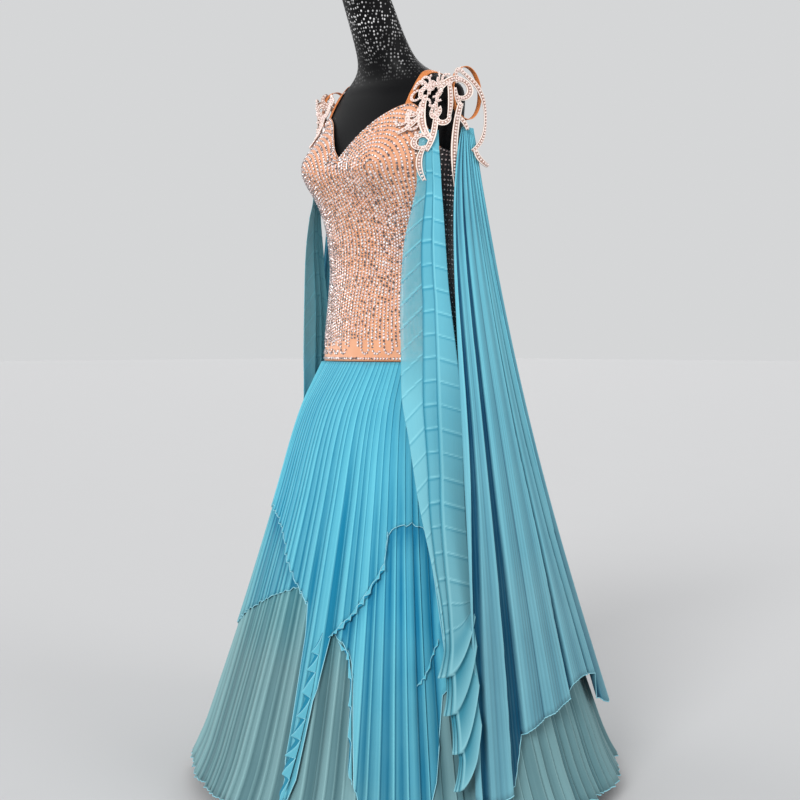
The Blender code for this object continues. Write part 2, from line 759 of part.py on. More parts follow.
def main():
    for old in list(bpy.data.objects):
        bpy.data.objects.remove(old)
    dress = bpy.data.collections.new("ballroom_dress")
    cutters = bpy.data.collections.new("lace_scrolls")
    for holder in (dress, cutters):
        bpy.context.scene.collection.children.link(holder)

    chiffon = principled("chiffon", (0.18, 0.55, 0.74), 0.75)
    nude = principled("nude_stretch", (0.78, 0.50, 0.36), 0.60)
    sheer = principled("sheer_mesh", (0.30, 0.26, 0.25), 0.70)
    elastic = principled("nude_elastic", (0.72, 0.36, 0.16), 0.65)
    lace = principled("corded_lace", (0.86, 0.76, 0.70), 0.60)
    body = principled("form_body", (0.02, 0.02, 0.022), 0.35)
    metal = principled("stand_metal", (0.05, 0.05, 0.055), 0.35, 1.0)
    brass = principled("ring_metal", (0.62, 0.38, 0.20), 0.30, 1.0)

    add_form(body, metal, dress)
    bodice_panel("bodice_front", -SIDE_SEAM, SIDE_SEAM, 26, 6, nude, dress)
    bodice_panel("bodice_back", SIDE_SEAM, 2 * math.pi - SIDE_SEAM, 18, 2, sheer, dress)
    add_skirt(chiffon, dress)
    side_pieces = (
        ("strap", elastic, add_strap),
        ("armband", elastic, add_band),
        ("armband_ring", brass, add_ring),
    )
    for piece_name, material, add_piece in side_pieces:
        left = add_piece(f"{piece_name}_left", material, dress)
        mirror_copy(f"{piece_name}_right", left, material, dress)
    add_front_float("float_front_left", chiffon, dress)
    add_back_float("float_back_left", chiffon, dress)
    swept_pieces = (
        ("float_front_right", add_front_float, {"edges": FRONT_FLOAT_SWEPT}),
        ("float_back_right", add_back_float, {"sweep": BACK_FLOAT_SWEEP, "bow": 0.0}),
    )
    for piece_name, add_piece, hang in swept_pieces:
        pattern = add_piece("swept_pattern", chiffon, dress, **hang)
        mirror_copy(piece_name, pattern, chiffon, dress)
        bpy.data.objects.remove(pattern)
    left_lace = add_lace("shoulder_lace_left", lace, dress, cutters)
    mirror_copy("shoulder_lace_right", left_lace, lace, dress)


main()
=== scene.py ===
import math
import random

import bmesh
import bpy
from mathutils import Matrix, Vector, noise


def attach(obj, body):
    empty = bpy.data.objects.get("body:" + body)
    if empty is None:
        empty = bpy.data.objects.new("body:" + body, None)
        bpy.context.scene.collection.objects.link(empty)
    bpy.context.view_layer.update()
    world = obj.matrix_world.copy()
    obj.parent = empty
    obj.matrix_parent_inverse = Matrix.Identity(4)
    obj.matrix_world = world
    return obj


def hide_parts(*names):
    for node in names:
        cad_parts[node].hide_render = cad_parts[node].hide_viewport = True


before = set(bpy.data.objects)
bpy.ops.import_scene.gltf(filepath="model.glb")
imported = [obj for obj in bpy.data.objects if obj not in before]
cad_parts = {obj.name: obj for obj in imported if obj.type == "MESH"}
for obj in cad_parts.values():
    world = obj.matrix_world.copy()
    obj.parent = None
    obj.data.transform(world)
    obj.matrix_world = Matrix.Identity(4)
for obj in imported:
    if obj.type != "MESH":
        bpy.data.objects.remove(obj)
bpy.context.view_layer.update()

print("frame loaded")

# Small tools

def smoothShare(value, low, high):
    t = min(1.0, max(0.0, (value - low) / (high - low)))
    return t * t * (3 - 2 * t)


def lineValue(rows, at, column=1):
    if at <= rows[0][0]:
        return rows[0][column]
    for low, high in zip(rows, rows[1:]):
        if at <= high[0]:
            share = (at - low[0]) / (high[0] - low[0])
            return low[column] * (1 - share) + high[column] * share
    return rows[-1][column]


def curveValue(rows, at, column=1):
    if at <= rows[0][0]:
        return rows[0][column]
    if at >= rows[-1][0]:
        return rows[-1][column]
    i = 0
    while rows[i + 1][0] < at:
        i += 1
    slopes = []
    for k in (i, i + 1):
        before, after = rows[max(k - 1, 0)], rows[min(k + 1, len(rows) - 1)]
        slopes.append((after[column] - before[column]) / (after[0] - before[0]))
    step = rows[i + 1][0] - rows[i][0]
    t = (at - rows[i][0]) / step
    start = 2 * t**3 - 3 * t**2 + 1
    return (start * rows[i][column] + (1 - start) * rows[i + 1][column]
            + (t**3 - 2 * t**2 + t) * step * slopes[0] + (t**3 - t**2) * step * slopes[1])


def sampled(rows, columns, low, high, step=0.002):
    # the table's smooth curves, read once at even heights
    count = int((high - low) / step) + 2
    values = [[curveValue(rows, low + i * step, c) for c in columns] for i in range(count)]

    def read(z):
        place = min(count - 1.001, max(0.0, (z - low) / step))
        i = int(place)
        t = place - i
        return [a * (1 - t) + b * t for a, b in zip(values[i], values[i + 1])]

    return read


def wrapped(angle):
    return (angle + math.pi) % (2 * math.pi) - math.pi


# The figure and the skirt that the cloth follows: height, half width, half depth, centre

figure = {
    "rows": [
        (0.700, 0.172, 0.124, 0.004), (0.790, 0.165, 0.112, -0.005),
        (0.850, 0.156, 0.106, -0.010), (0.910, 0.145, 0.100, -0.014),
        (0.965, 0.137, 0.096, -0.018), (1.030, 0.139, 0.099, -0.023),
        (1.080, 0.146, 0.106, -0.027), (1.140, 0.152, 0.112, -0.029),
        (1.200, 0.156, 0.105, -0.023), (1.240, 0.158, 0.094, -0.015),
        (1.270, 0.159, 0.082, -0.009), (1.290, 0.153, 0.069, -0.007),
        (1.305, 0.128, 0.062, -0.009), (1.318, 0.101, 0.059, -0.014),
        (1.332, 0.077, 0.056, -0.022), (1.350, 0.061, 0.053, -0.034),
        (1.380, 0.053, 0.050, -0.051), (1.430, 0.049, 0.047, -0.076),
        (1.480, 0.046, 0.045, -0.100), (1.535, 0.044, 0.043, -0.124),
    ],
    "cupAngle": math.radians(33), "cupSpread": math.radians(26),
    "cupHeight": 1.145, "cupSpreadZ": 0.054, "cupDepth": 0.040,
}
figureAt = sampled(figure["rows"], (1, 2, 3), 0.700, 1.535)

skirtShape = {
    "rows": [
        (0.030, 0.402, 0.396, 0.012), (0.108, 0.374, 0.369, 0.011), (0.294, 0.311, 0.307, 0.008),
        (0.531, 0.239, 0.232, 0.004), (0.697, 0.194, 0.175, 0.000), (0.790, 0.165, 0.112, -0.005),
    ],
    "top": 0.789, "floor": 0.030,
}
skirtAt = sampled(skirtShape["rows"], (1, 2, 3), 0.030, 0.790)


def cupBulge(angle, z):
    up = math.exp(-(((z - figure["cupHeight"]) / figure["cupSpreadZ"]) ** 2))
    return up * sum(
        math.exp(-(((angle - side * figure["cupAngle"]) / figure["cupSpread"]) ** 2))
        for side in (-1, 1))


def figurePoint(angle, z, lift, cupShare=1.0):
    halfWidth, halfDepth, centreY = figureAt(z)
    cup = figure["cupDepth"] * cupShare * cupBulge(wrapped(angle), z)
    return Vector(((halfWidth + lift + 0.25 * cup) * math.sin(angle),
                   centreY - (halfDepth + lift) * math.cos(angle) - cup, z))


def skirtPoint(angle, z, lift):
    halfWidth, halfDepth, centreY = skirtAt(z)
    return Vector(((halfWidth + lift) * math.sin(angle),
                   centreY - (halfDepth + lift) * math.cos(angle), z))


# Finishes: shader sums are written as Python sums

class Signal:
    def __init__(self, finish, socket):
        self.finish, self.socket = finish, socket

    def combine(self, operation, other, swap=False):
        pair = (other, self) if swap else (self, other)
        return self.finish.node("ShaderNodeMath", {"operation": operation},
                                {0: pair[0], 1: pair[1]})

    def __add__(self, other):
        return self.combine("ADD", other)

    def __sub__(self, other):
        return self.combine("SUBTRACT", other)

    def __rsub__(self, other):
        return self.combine("SUBTRACT", other, True)

    def __mul__(self, other):
        return self.combine("MULTIPLY", other)

    def clamped(self):
        return self.finish.node("ShaderNodeClamp", {}, {"Value": self, "Min": 0.0, "Max": 1.0})


class Finish:
    def __init__(self, name, roughness, metallic=0.0):
        self.material = bpy.data.materials.new(name)
        self.material.use_nodes = True
        self.tree = self.material.node_tree
        self.shader = self.tree.nodes["Principled BSDF"]
        self.shader.inputs["Roughness"].default_value = roughness
        self.shader.inputs["Metallic"].default_value = metallic

    def node(self, kind, settings=None, values=None, output=0):
        made = self.tree.nodes.new(kind)
        for name, value in (settings or {}).items():
            if name == "stops":
                ramp = made.color_ramp
                while len(ramp.elements) < len(value):
                    ramp.elements.new(0.5)
                for element, (place, colour) in zip(ramp.elements, value):
                    element.position = place
                    element.color = (*colour, 1.0)
            else:
                setattr(made, name, value)
        for socket, value in (values or {}).items():
            self.put(made.inputs[socket], value)
        return Signal(self, made.outputs[output])

    def put(self, socket, value):
        # a colour of three numbers gets a fourth where its socket needs one
        if isinstance(value, Signal):
            self.tree.links.new(value.socket, socket)
        elif hasattr(value, "__len__") and len(value) == 3 and len(socket.default_value) == 4:
            socket.default_value = (*value, 1.0)
        else:
            socket.default_value = value

    def set(self, **values):
        for name, value in values.items():
            self.put(self.shader.inputs[name.replace("_", " ")], value)
        return self

    def objectPlace(self, scale=(1, 1, 1)):
        place = self.node("ShaderNodeTexCoord", output=3)
        return self.node("ShaderNodeMapping", {}, {"Vector": place, "Scale": scale})

    def clothPlace(self, scale=(1, 1, 1)):
        place = self.node("ShaderNodeUVMap", {"uv_map": "cloth"})
        return self.node("ShaderNodeMapping", {}, {"Vector": place, "Scale": scale})

    def axis(self, output):
        return self.node("ShaderNodeSeparateXYZ", {}, {"Vector": self.objectPlace()}, output=output)

    def attribute(self, name):
        return self.node("ShaderNodeAttribute", {"attribute_name": name}, output=2)

    def noise(self, place, scale, detail):
        return self.node("ShaderNodeTexNoise", {}, {
            "Vector": place, "Scale": scale, "Detail": detail, "Roughness": 0.5})

    def mixColour(self, share, first, second):
        # the mix node's colour sockets have no names of their own, so they are numbered
        made = self.tree.nodes.new("ShaderNodeMix")
        made.data_type = "RGBA"
        self.put(made.inputs[0], share)
        self.put(made.inputs[6], first)
        self.put(made.inputs[7], second)
        return Signal(self, made.outputs[2])

    def bump(self, height, strength, distance):
        return self.node("ShaderNodeBump", {}, {
            "Height": height, "Strength": strength, "Distance": distance})


chiffon = {
    "roughness": 0.66, "streaksAcross": 900, "streaksAlong": 3, "patchScale": 7.0, "crepeScale": 1900.0,
    # how much the painted shade of the folds, the streaks and the patches say in the mix of deep and pale
    "paintedShadeShare": 0.92, "streakShare": 0.30, "patchShare": 0.34, "base": 0.02, "lowPatches": 0.5,
}


def chiffonFinish(name, deep, pale, lowDeep, lowPale, lowFrom, lowTo, tilt=0.0):
    # painted shade deep in the folds and painted highlights pale on the ridges, with streaks and patches of
    # tone, and greyer towards the floor where fewer layers lie
    finish = Finish(name, chiffon["roughness"])
    fold = finish.attribute("fold")
    along = finish.clothPlace((chiffon["streaksAcross"], chiffon["streaksAlong"], 1))
    streaks = finish.noise(along, 1.0, 2.0)
    patches = finish.noise(finish.objectPlace(), chiffon["patchScale"], 3.0)
    share = (fold * chiffon["paintedShadeShare"] + (streaks - 0.5) * chiffon["streakShare"]
             + (patches - 0.5) * chiffon["patchShare"] + chiffon["base"]).clamped()
    across, height = (finish.axis(output) for output in (0, 2))
    low = ((lowFrom - (height + across * tilt)) * (1 / (lowFrom - lowTo))
           + (patches - 0.5) * chiffon["lowPatches"]).clamped()
    crepe = finish.noise(finish.objectPlace(), chiffon["crepeScale"], 1.0)
    high = finish.mixColour(share, deep, pale)
    finish.set(Base_Color=finish.mixColour(low, high, finish.mixColour(share, lowDeep, lowPale)),
               Alpha=finish.attribute("cover"), Normal=finish.bump(crepe, 0.25, 0.0003),
               Sheen_Weight=0.08, Sheen_Roughness=0.5, Specular_IOR_Level=0.10)
    return finish.material


def plainFinish(name, colour, shade, roughness, scale, strength):
    finish = Finish(name, roughness)
    place = finish.objectPlace()
    cloud = finish.noise(place, scale * 0.05, 3.0)
    grain = finish.noise(place, scale, 2.0)
    finish.set(Base_Color=finish.mixColour(cloud, shade, colour),
               Roughness=(cloud - 0.5) * 0.25 + roughness,
               Normal=finish.bump(grain, strength, 0.0004))
    return finish.material


def elasticFinish(name):
    finish = Finish(name, 0.55)
    ribs = finish.node("ShaderNodeTexWave", {"wave_type": "BANDS", "bands_direction": "X"}, {
        "Vector": finish.clothPlace((9, 60, 1)), "Scale": 1.0, "Distortion": 0.2})
    finish.set(Base_Color=finish.mixColour(ribs, (0.52, 0.14, 0.03), (0.78, 0.27, 0.07)),
               Normal=finish.bump(ribs, 0.5, 0.0003))
    return finish.material


def stretchFinish(name):
    finish = Finish(name, 0.5)
    knit = finish.noise(finish.clothPlace((420, 420, 1)), 1.0, 1.0)
    cloud = finish.noise(finish.objectPlace(), 24.0, 3.0)
    finish.set(Base_Color=finish.mixColour(cloud, (0.62, 0.26, 0.13), (0.78, 0.38, 0.21)),
               Normal=finish.bump(knit, 0.35, 0.0003), Roughness=(cloud - 0.5) * 0.2 + 0.48,
               Sheen_Weight=0.2)
    return finish.material


def meshFinish(name):
    finish = Finish(name, 0.55)
    holes = finish.node("ShaderNodeTexVoronoi", {"feature": "DISTANCE_TO_EDGE"}, {
        "Vector": finish.objectPlace(), "Scale": 620.0})
    thread = finish.node("ShaderNodeMath", {"operation": "LESS_THAN"}, {0: holes, 1: 0.12})
    finish.set(Base_Color=finish.mixColour(thread, (0.010, 0.010, 0.012), (0.055, 0.050, 0.052)),
               Normal=finish.bump(holes, 0.5, 0.0005))
    return finish.material


def crystalFinish(name):
    finish = Finish(name, 0.2, 0.10)
    facet = finish.attribute("facet")
    tint = finish.attribute("tint")
    light = finish.mixColour(tint, (1.00, 0.94, 0.93), (0.90, 0.68, 0.66))
    # painted reflections and glints on the facets: near black on dim ones, pale on bright ones
    finish.set(Base_Color=finish.mixColour(facet, (0.035, 0.022, 0.025), light),
               Roughness=facet * 0.15 + 0.12, Coat_Weight=0.7)
    return finish.material


def laceFinish(name):
    # cords in their pale colour beside a ground painted darker, as painted shade between the raised cords
    finish = Finish(name, 0.5)
    fold = finish.attribute("fold")
    twist = finish.noise(finish.objectPlace(), 900.0, 2.0)
    share = (fold * 1.15 + (twist - 0.5) * 0.5 - 0.15).clamped()
    finish.set(Base_Color=finish.mixColour(share, (0.44, 0.25, 0.18), (0.94, 0.84, 0.77)),
               Normal=finish.bump(twist, 0.5, 0.0004), Roughness=0.55 - share * 0.15)
    return finish.material


def pearlFinish(name):
    finish = Finish(name, 0.22)
    cloud = finish.noise(finish.objectPlace(), 300.0, 2.0)
    finish.set(Base_Color=finish.mixColour(cloud, (0.68, 0.44, 0.40), (0.96, 0.88, 0.83)),
               Coat_Weight=0.5)
    return finish.material


def formFinish(name):
    # a black covering whose neck is set with small scales, their bright glints painted into the colour,
    # fading out on the chest
    finish = Finish(name, 0.34)
    height = finish.axis(2)
    cells = finish.node("ShaderNodeTexVoronoi", {"feature": "F1"}, {
        "Vector": finish.objectPlace((1, 1, 0.8)), "Scale": 190.0, "Randomness": 0.45})
    cloud = finish.noise(finish.objectPlace(), 22.0, 2.0)
    chestZ = 1.300
    near = ((height - chestZ) * 9.0).clamped()
    spot = (1.0 - cells * 2.7).clamped()
    glint = (spot * near * (cloud * 5.0 - 1.3)).clamped()
    finish.set(Base_Color=finish.mixColour(glint, (0.002, 0.002, 0.0025), (0.90, 0.90, 0.90)),
               Roughness=0.50 - glint * 0.15,
               Normal=finish.bump(spot * near, 0.6, 0.0016), Specular_IOR_Level=0.12)
    return finish.material


def metalFinish(name, colour, roughness):
    finish = Finish(name, roughness, 1.0)
    cloud = finish.noise(finish.objectPlace(), 90.0, 3.0)
    finish.set(Base_Color=finish.mixColour(cloud, tuple(c * 0.7 for c in colour), colour),
               Roughness=(cloud - 0.5) * 0.2 + roughness)
    return finish.material


finishes = {
    "floorChiffon": chiffonFinish("floorChiffon", (0.020, 0.150, 0.190), (0.200, 0.450, 0.480),
                                  (0.070, 0.155, 0.175), (0.215, 0.380, 0.400), 0.45, 0.25),
    "middleChiffon": chiffonFinish("middleChiffon", (0.005, 0.165, 0.300), (0.150, 0.590, 0.710),
                                   (0.020, 0.140, 0.200), (0.190, 0.430, 0.480), 0.54, 0.14, 0.9),
    "topChiffon": chiffonFinish("topChiffon", (0.005, 0.190, 0.330), (0.150, 0.570, 0.690),
                                (0.010, 0.170, 0.270), (0.140, 0.450, 0.540), 0.55, 0.15),
    "floatChiffon": chiffonFinish("floatChiffon", (0.000, 0.050, 0.130), (0.170, 0.570, 0.690),
                                  (0.000, 0.055, 0.110), (0.160, 0.390, 0.460), 0.95, 0.35),
    "veilChiffon": chiffonFinish("veilChiffon", (0.020, 0.260, 0.400), (0.200, 0.580, 0.680),
                                 (0.030, 0.190, 0.260), (0.200, 0.450, 0.510), 0.85, 0.40),
    "rolledHem": plainFinish("rolledHem", (0.34, 0.64, 0.72), (0.12, 0.42, 0.52), 0.6, 900, 0.3),
    "stretch": stretchFinish("nudeStretch"),
    "mesh": meshFinish("darkMesh"),
    "elastic": elasticFinish("orangeElastic"),
    "lace": laceFinish("creamLace"),
    "pearl": pearlFinish("pearl"),
    "crystal": crystalFinish("crystal"),
    "form": formFinish("blackForm"),
    "stand": metalFinish("blackStand", (0.05, 0.05, 0.055), 0.35),
    "brass": metalFinish("brassRing", (0.72, 0.42, 0.16), 0.25),
}
print("finishes ready")


# Making pieces

def linked(name, data):
    made = bpy.data.objects.new(name, data)
    bpy.context.scene.collection.objects.link(made)
    return made


def meshOf(shape, name):
    mesh = bpy.data.meshes.new(name)
    shape.to_mesh(mesh)
    shape.free()
    return mesh


def keep(mesh, name, material, smooth=True):
    mesh.materials.append(material)
    if smooth:
        mesh.shade_smooth()
    made = linked(name, mesh)
    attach(made, "root")
    return made


def thicken(piece, wall, offset=1.0):
    thick = piece.modifiers.new("Wall", "SOLIDIFY")
    thick.thickness = wall
    thick.offset = offset


chiffonWall = 0.0004
weldReach = 0.00002


def gridCloth(name, columns, rows, place, material, wall=chiffonWall, closed=False):
    # place(u, v) gives a point, the painted shade that the finish mixes into its colour, and how much it
    # covers
    cloth = bmesh.new()
    uvLayer = cloth.loops.layers.uv.new("cloth")
    bmesh.ops.create_grid(cloth, x_segments=columns, y_segments=rows, size=0.5, calc_uvs=False)
    paintedShadeLayer = cloth.verts.layers.float.new("fold")
    coverLayer = cloth.verts.layers.float.new("cover")
    for vert in cloth.verts:
        u, v = vert.co.x + 0.5, vert.co.y + 0.5
        for loop in vert.link_loops:
            loop[uvLayer].uv = (u, v)
        vert.co, vert[paintedShadeLayer], *cover = place(u, v)
        vert[coverLayer] = cover[0] if cover else 1.0
    if closed:
        bmesh.ops.remove_doubles(cloth, verts=cloth.verts, dist=weldReach)
    made = keep(meshOf(cloth, name), name, material)
    if wall:
        thicken(made, wall)
    return made


def mirrorMesh(mesh):
    mesh.transform(Matrix.Scale(-1, 4, (1, 0, 0)))
    mesh.flip_normals()


def mirroredCopy(piece, name):
    # the same piece on the wearer's right
    mesh = piece.data.copy()
    mesh.name = name
    mirrorMesh(mesh)
    made = linked(name, mesh)
    for modifier in piece.modifiers:
        thicken(made, modifier.thickness, modifier.offset)
    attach(made, "root")
    return made


def bothSides(left, node, slot):
    # a left piece and its mirror image replace the two nodes of a pair
    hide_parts(node + "_left")
    right = mirroredCopy(left, left.name.replace("Left", "Right"))
    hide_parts(node + "_right")
    return left, right


def tubeAlong(name, points, radius, material, closed=False, sides=1):
    curve = bpy.data.curves.new(name, "CURVE")
    curve.dimensions = "3D"
    curve.bevel_depth = radius
    curve.bevel_resolution = sides
    curve.use_fill_caps = True
    line = curve.splines.new("POLY")
    line.points.add(len(points) - 1)
    for point, co in zip(line.points, points):
        point.co = (*co, 1.0)
    line.use_cyclic_u = closed
    holder = linked(name, curve)
    mesh = bpy.data.meshes.new_from_object(holder.evaluated_get(
        bpy.context.evaluated_depsgraph_get()))
    bpy.data.objects.remove(holder)
    mesh.name = name
    mesh.materials.clear()
    weld = bmesh.new()
    weld.from_mesh(mesh)
    bmesh.ops.remove_doubles(weld, verts=weld.verts, dist=weldReach / 2)
    weld.to_mesh(mesh)
    weld.free()
    return keep(mesh, name, material)


def surfaceArea(piece):
    return sum(face.area for face in piece.data.polygons)


# Dress form

def dressForm():
    form = {"around": 96, "levels": 150, "bottom": 0.7008, "top": 1.5350, "inset": 0.0020,
            "cupShare": 0.75, "capRise": 0.012, "capInset": 0.010, "capEdge": 0.8}
    ball = bmesh.new()
    bmesh.ops.create_uvsphere(ball, u_segments=form["around"], v_segments=form["levels"], radius=1)
    rings = form["levels"] - 2
    for vert in ball.verts:
        ring = round(math.acos(max(-1, min(1, vert.co.z))) / math.pi * form["levels"])
        angle = math.atan2(vert.co.x, -vert.co.y)
        if ring == 0:
            front, back = (figurePoint(a, form["top"], 0) for a in (0, math.pi))
            vert.co = (front + back) / 2 + Vector((0, 0, form["capRise"]))
        elif ring == form["levels"]:
            vert.co = (0, 0.004, form["bottom"])
        elif ring == 1:
            edge = figurePoint(angle, form["top"], -form["capInset"])
            vert.co = (edge.x, edge.y, form["top"] + form["capRise"] * form["capEdge"])
        else:
            share = (ring - 2) / (rings - 1)
            z = form["top"] + (form["bottom"] - form["top"]) * share
            vert.co = figurePoint(angle, z, -form["inset"], form["cupShare"])
    made = keep(meshOf(ball, "dressForm"), "dressForm", finishes["form"])
    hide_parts("dress_form")


dressForm()
for node in ("stand_pole", "stand_foot"):
    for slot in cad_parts[node].material_slots:
        slot.material = finishes["stand"]
print("form and stand ready")


# Bodice

neckline = [(0, 1.156), (6, 1.174), (13, 1.200), (22, 1.226), (32, 1.243), (43, 1.250), (52, 1.238),
            (63, 1.206), (76, 1.174), (95, 1.167), (130, 1.164), (180, 1.146)]


def necklineZ(angle):
    return curveValue(neckline, abs(math.degrees(wrapped(angle))))


bodice = {"bottom": 0.7903, "lift": 0.0006, "boundEdge": 0.012, "edgeLift": 0.0007,
          "flat": (0.46, 0.50), "mostArea": 0.22}


def bodicePanel(name, start, end, columns, rows, material, node, wall):
    def place(u, v):
        angle = start + (end - start) * u
        z = bodice["bottom"] + (necklineZ(angle) - bodice["bottom"]) * v
        edge = min(1.0, (1 - v) / bodice["boundEdge"])          # the top edge is turned in and bound
        return figurePoint(angle, z, bodice["lift"] + bodice["edgeLift"] * (1 - edge)), 0.5

    made = gridCloth(name, columns, rows, place, material, wall)
    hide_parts(node)


sideSeam = math.radians(78)
bodicePanel("bodiceFront", -sideSeam + 0.001, sideSeam - 0.001, 150, 120, finishes["stretch"],
            "bodice_front", 0.0009)
bodicePanel("bodiceBack", sideSeam + 0.001, 2 * math.pi - sideSeam - 0.001, 130, 90,
            finishes["mesh"], "bodice_back", 0.0006)
print("bodice ready")


# Crystals, set in rows that arch over each cup and run down to the hip seam

stones = {
    "rowPitch": math.radians(3), "spacing": 0.0058, "radius": 0.0027, "height": 0.0020, "sides": 8,
    "archZ": 1.132, "archRise": 0.152, "loopZ": 0.8145, "loopDrop": 0.0105, "middleEnd": 0.012,
    "pathStep": 0.002, "archTurns": 60, "loopTurns": 16,
    # a stone's lift off the figure, how far rows keep from the neck's edge, and the two border rows
    "lift": 0.0016, "neckGap": 0.0095, "neckRow": 0.0038, "hemRow": 0.7955, "hemSpacing": 0.0064,
    # how many stones look dark, their sizes, the flat top's share of the radius, and the shades that paint
    # reflections and glints into the facets
    "darkShare": 0.27, "sizes": (0.80, 1.18), "topShare": 0.62, "darkTop": 0.06, "lightTop": (0.75, 1.0),
    "flashShare": 0.3, "flash": 0.8, "dimFacets": (0.05, 0.35),
    # the rows sway towards the wearer's left at the waist: height, and how many degrees
    "sway": [(0.80, -1.0), (0.84, -1.0), (0.90, 2.0), (0.95, 7.0), (1.00, 11.0), (1.04, 10.0),
             (1.08, 5.0), (1.13, 0.0)],
    "swayMiddle": 6.0, "swayWidth": 36.0,
}
backStones = {"rows": 46, "fromSeam": 0.05, "bottom": 802, "top": 1166, "step": 2, "neckGap": 0.007,
              "spacing": 0.0088, "neckRow": 0.003, "edgeSpacing": 0.0070, "lift": 0.0012,
              "radius": 0.0019, "height": 0.0014}


def leaned(angle, z):
    away = (math.degrees(angle) - stones["swayMiddle"]) / stones["swayWidth"]
    return angle + math.radians(curveValue(stones["sway"], z)) * math.exp(-away * away)


def rowAngle(number):
    return figure["cupAngle"] + (number + 0.5) * stones["rowPitch"]


def rowDown(number, side):
    # a row's run from the cup to the hip; the middle row of each three ends higher
    bottom = stones["loopZ"] + (stones["middleEnd"] if number % 3 == 1 else 0)
    steps = int((stones["archZ"] - bottom) / stones["pathStep"])
    heights = [stones["archZ"] - i * stones["pathStep"] for i in range(steps + 1)]
    return [(leaned(side * rowAngle(number), z), z) for z in heights]


def archOver(number):
    reach = (number + 0.5) * stones["rowPitch"]
    turns = stones["archTurns"]
    return [(figure["cupAngle"] + reach * math.cos(math.pi * i / turns),
             stones["archZ"] + reach * stones["archRise"] * math.sin(math.pi * i / turns))
            for i in range(turns + 1)]


def loopUnder(number, side):
    # a U that joins the two outer rows of three above the seam
    first = leaned(side * rowAngle(number), stones["loopZ"])
    last = leaned(side * rowAngle(number + 2), stones["loopZ"])
    turns = stones["loopTurns"]
    return [((first + last) / 2 - (last - first) / 2 * math.cos(math.pi * i / turns),
             stones["loopZ"] - stones["loopDrop"] * math.sin(math.pi * i / turns))
            for i in range(1, turns)]


def spread(path, spacing, lift, start=1.0):
    # evenly spaced places along a path of angles and heights
    places, carried, last = [], spacing * start, None
    for angle, z in path:
        point = figurePoint(angle, z, lift)
        if last is not None:
            gap = (point - last).length
            while gap > 0 and carried + gap >= spacing:
                share = (spacing - carried) / gap
                places.append((lastAngle + (angle - lastAngle) * share,
                               lastZ + (z - lastZ) * share))
                lastAngle, lastZ = places[-1]
                last = figurePoint(lastAngle, lastZ, lift)
                gap = (point - last).length
                carried = 0
            carried += gap
        last, lastAngle, lastZ = point, angle, z
    return places


def outward(angle, z, lift):
    here = figurePoint(angle, z, lift)
    along = figurePoint(angle + 0.01, z, lift) - here
    up = figurePoint(angle, z + 0.003, lift) - here
    normal = along.cross(up).normalized()
    return here, normal


def setStones(name, places, radius, height, lift, seed):
    rnd = random.Random(seed)
    gems = bmesh.new()
    facetLightLayer = gems.faces.layers.float.new("facet")
    tintLayer = gems.faces.layers.float.new("tint")
    for angle, z in places:
        here, normal = outward(angle, z, lift)
        size = radius * rnd.uniform(*stones["sizes"])
        turn = normal.to_track_quat("Z", "Y").to_matrix().to_4x4()
        place = (Matrix.Translation(here + normal * height * 0.5) @ turn
                 @ Matrix.Rotation(rnd.uniform(0, 1), 4, "Z"))
        gem = bmesh.ops.create_cone(gems, cap_ends=True, segments=stones["sides"], radius1=size,
                                    radius2=size * stones["topShare"], depth=height, matrix=place)
        tint = rnd.random()
        dark = rnd.random() < stones["darkShare"]
        # in the order of the corners, so that each run draws the same shades
        for face in dict.fromkeys(face for vert in gem["verts"] for face in vert.link_faces):
            # painted light: each top gets a painted reflection, and some side facets a painted glint, the
            # rest dim
            if len(face.verts) > 4:
                face[facetLightLayer] = stones["darkTop"] if dark else rnd.uniform(*stones["lightTop"])
            elif rnd.random() < stones["flashShare"]:
                face[facetLightLayer] = stones["flash"]
            else:
                face[facetLightLayer] = rnd.uniform(*stones["dimFacets"])
            face[tintLayer] = tint
    keep(meshOf(gems, name), name, finishes["crystal"], smooth=False)


def neckRow(first, last, gap):
    # quarter degrees along the neck's edge, and the height a little below it
    angles = [math.radians(quarter / 4) for quarter in range(first, last + 1)]
    return [(angle, necklineZ(angle) - gap) for angle in angles]


def bodiceStones():
    step = stones["rowPitch"]
    innermost = -int(figure["cupAngle"] / step)
    outermost = int((sideSeam - figure["cupAngle"]) / step)
    places = []
    for side in (-1, 1):
        paths = [rowDown(number, side) for number in range(innermost, outermost + 1)]
        paths += [[(side * angle, z) for angle, z in archOver(number)]
                  for number in range(0, outermost + 1)]
        paths += [loopUnder(number, side) for number in range(innermost, outermost - 1)
                  if number % 3 == 0]
        for order, path in enumerate(paths):
            # every other row starts half a stone later
            for angle, z in spread(path, stones["spacing"], stones["lift"], 0.35 + 0.45 * (order % 2)):
                if z < necklineZ(angle) - stones["neckGap"] and abs(angle) < sideSeam - 0.02:
                    places.append((angle, z))
    places += spread(neckRow(-300, 300, stones["neckRow"]), stones["spacing"], stones["lift"])
    hem = [(math.radians(d / 4), stones["hemRow"]) for d in range(-304, 305)]
    places += spread(hem, stones["hemSpacing"], stones["lift"])
    print("front stones", len(places))
    setStones("frontStones", places, stones["radius"], stones["height"], 0.0015, 3)
    back = []
    width = 2 * math.pi - 2 * sideSeam - 2 * backStones["fromSeam"]
    for number in range(backStones["rows"]):
        angle = sideSeam + backStones["fromSeam"] + number * width / (backStones["rows"] - 1)
        highest = necklineZ(angle) - backStones["neckGap"]
        path = [(angle, z / 1000) for z in range(backStones["bottom"], backStones["top"], backStones["step"])
                if z / 1000 < highest]
        back += spread(path, backStones["spacing"], backStones["lift"])
    back += spread(neckRow(314, 1126, backStones["neckRow"]), backStones["edgeSpacing"],
                   backStones["lift"])
    print("back stones", len(back))
    setStones("backStones", back, backStones["radius"], backStones["height"], backStones["lift"], 4)


bodiceStones()
print("stones ready")


# Skirt: three pleated layers

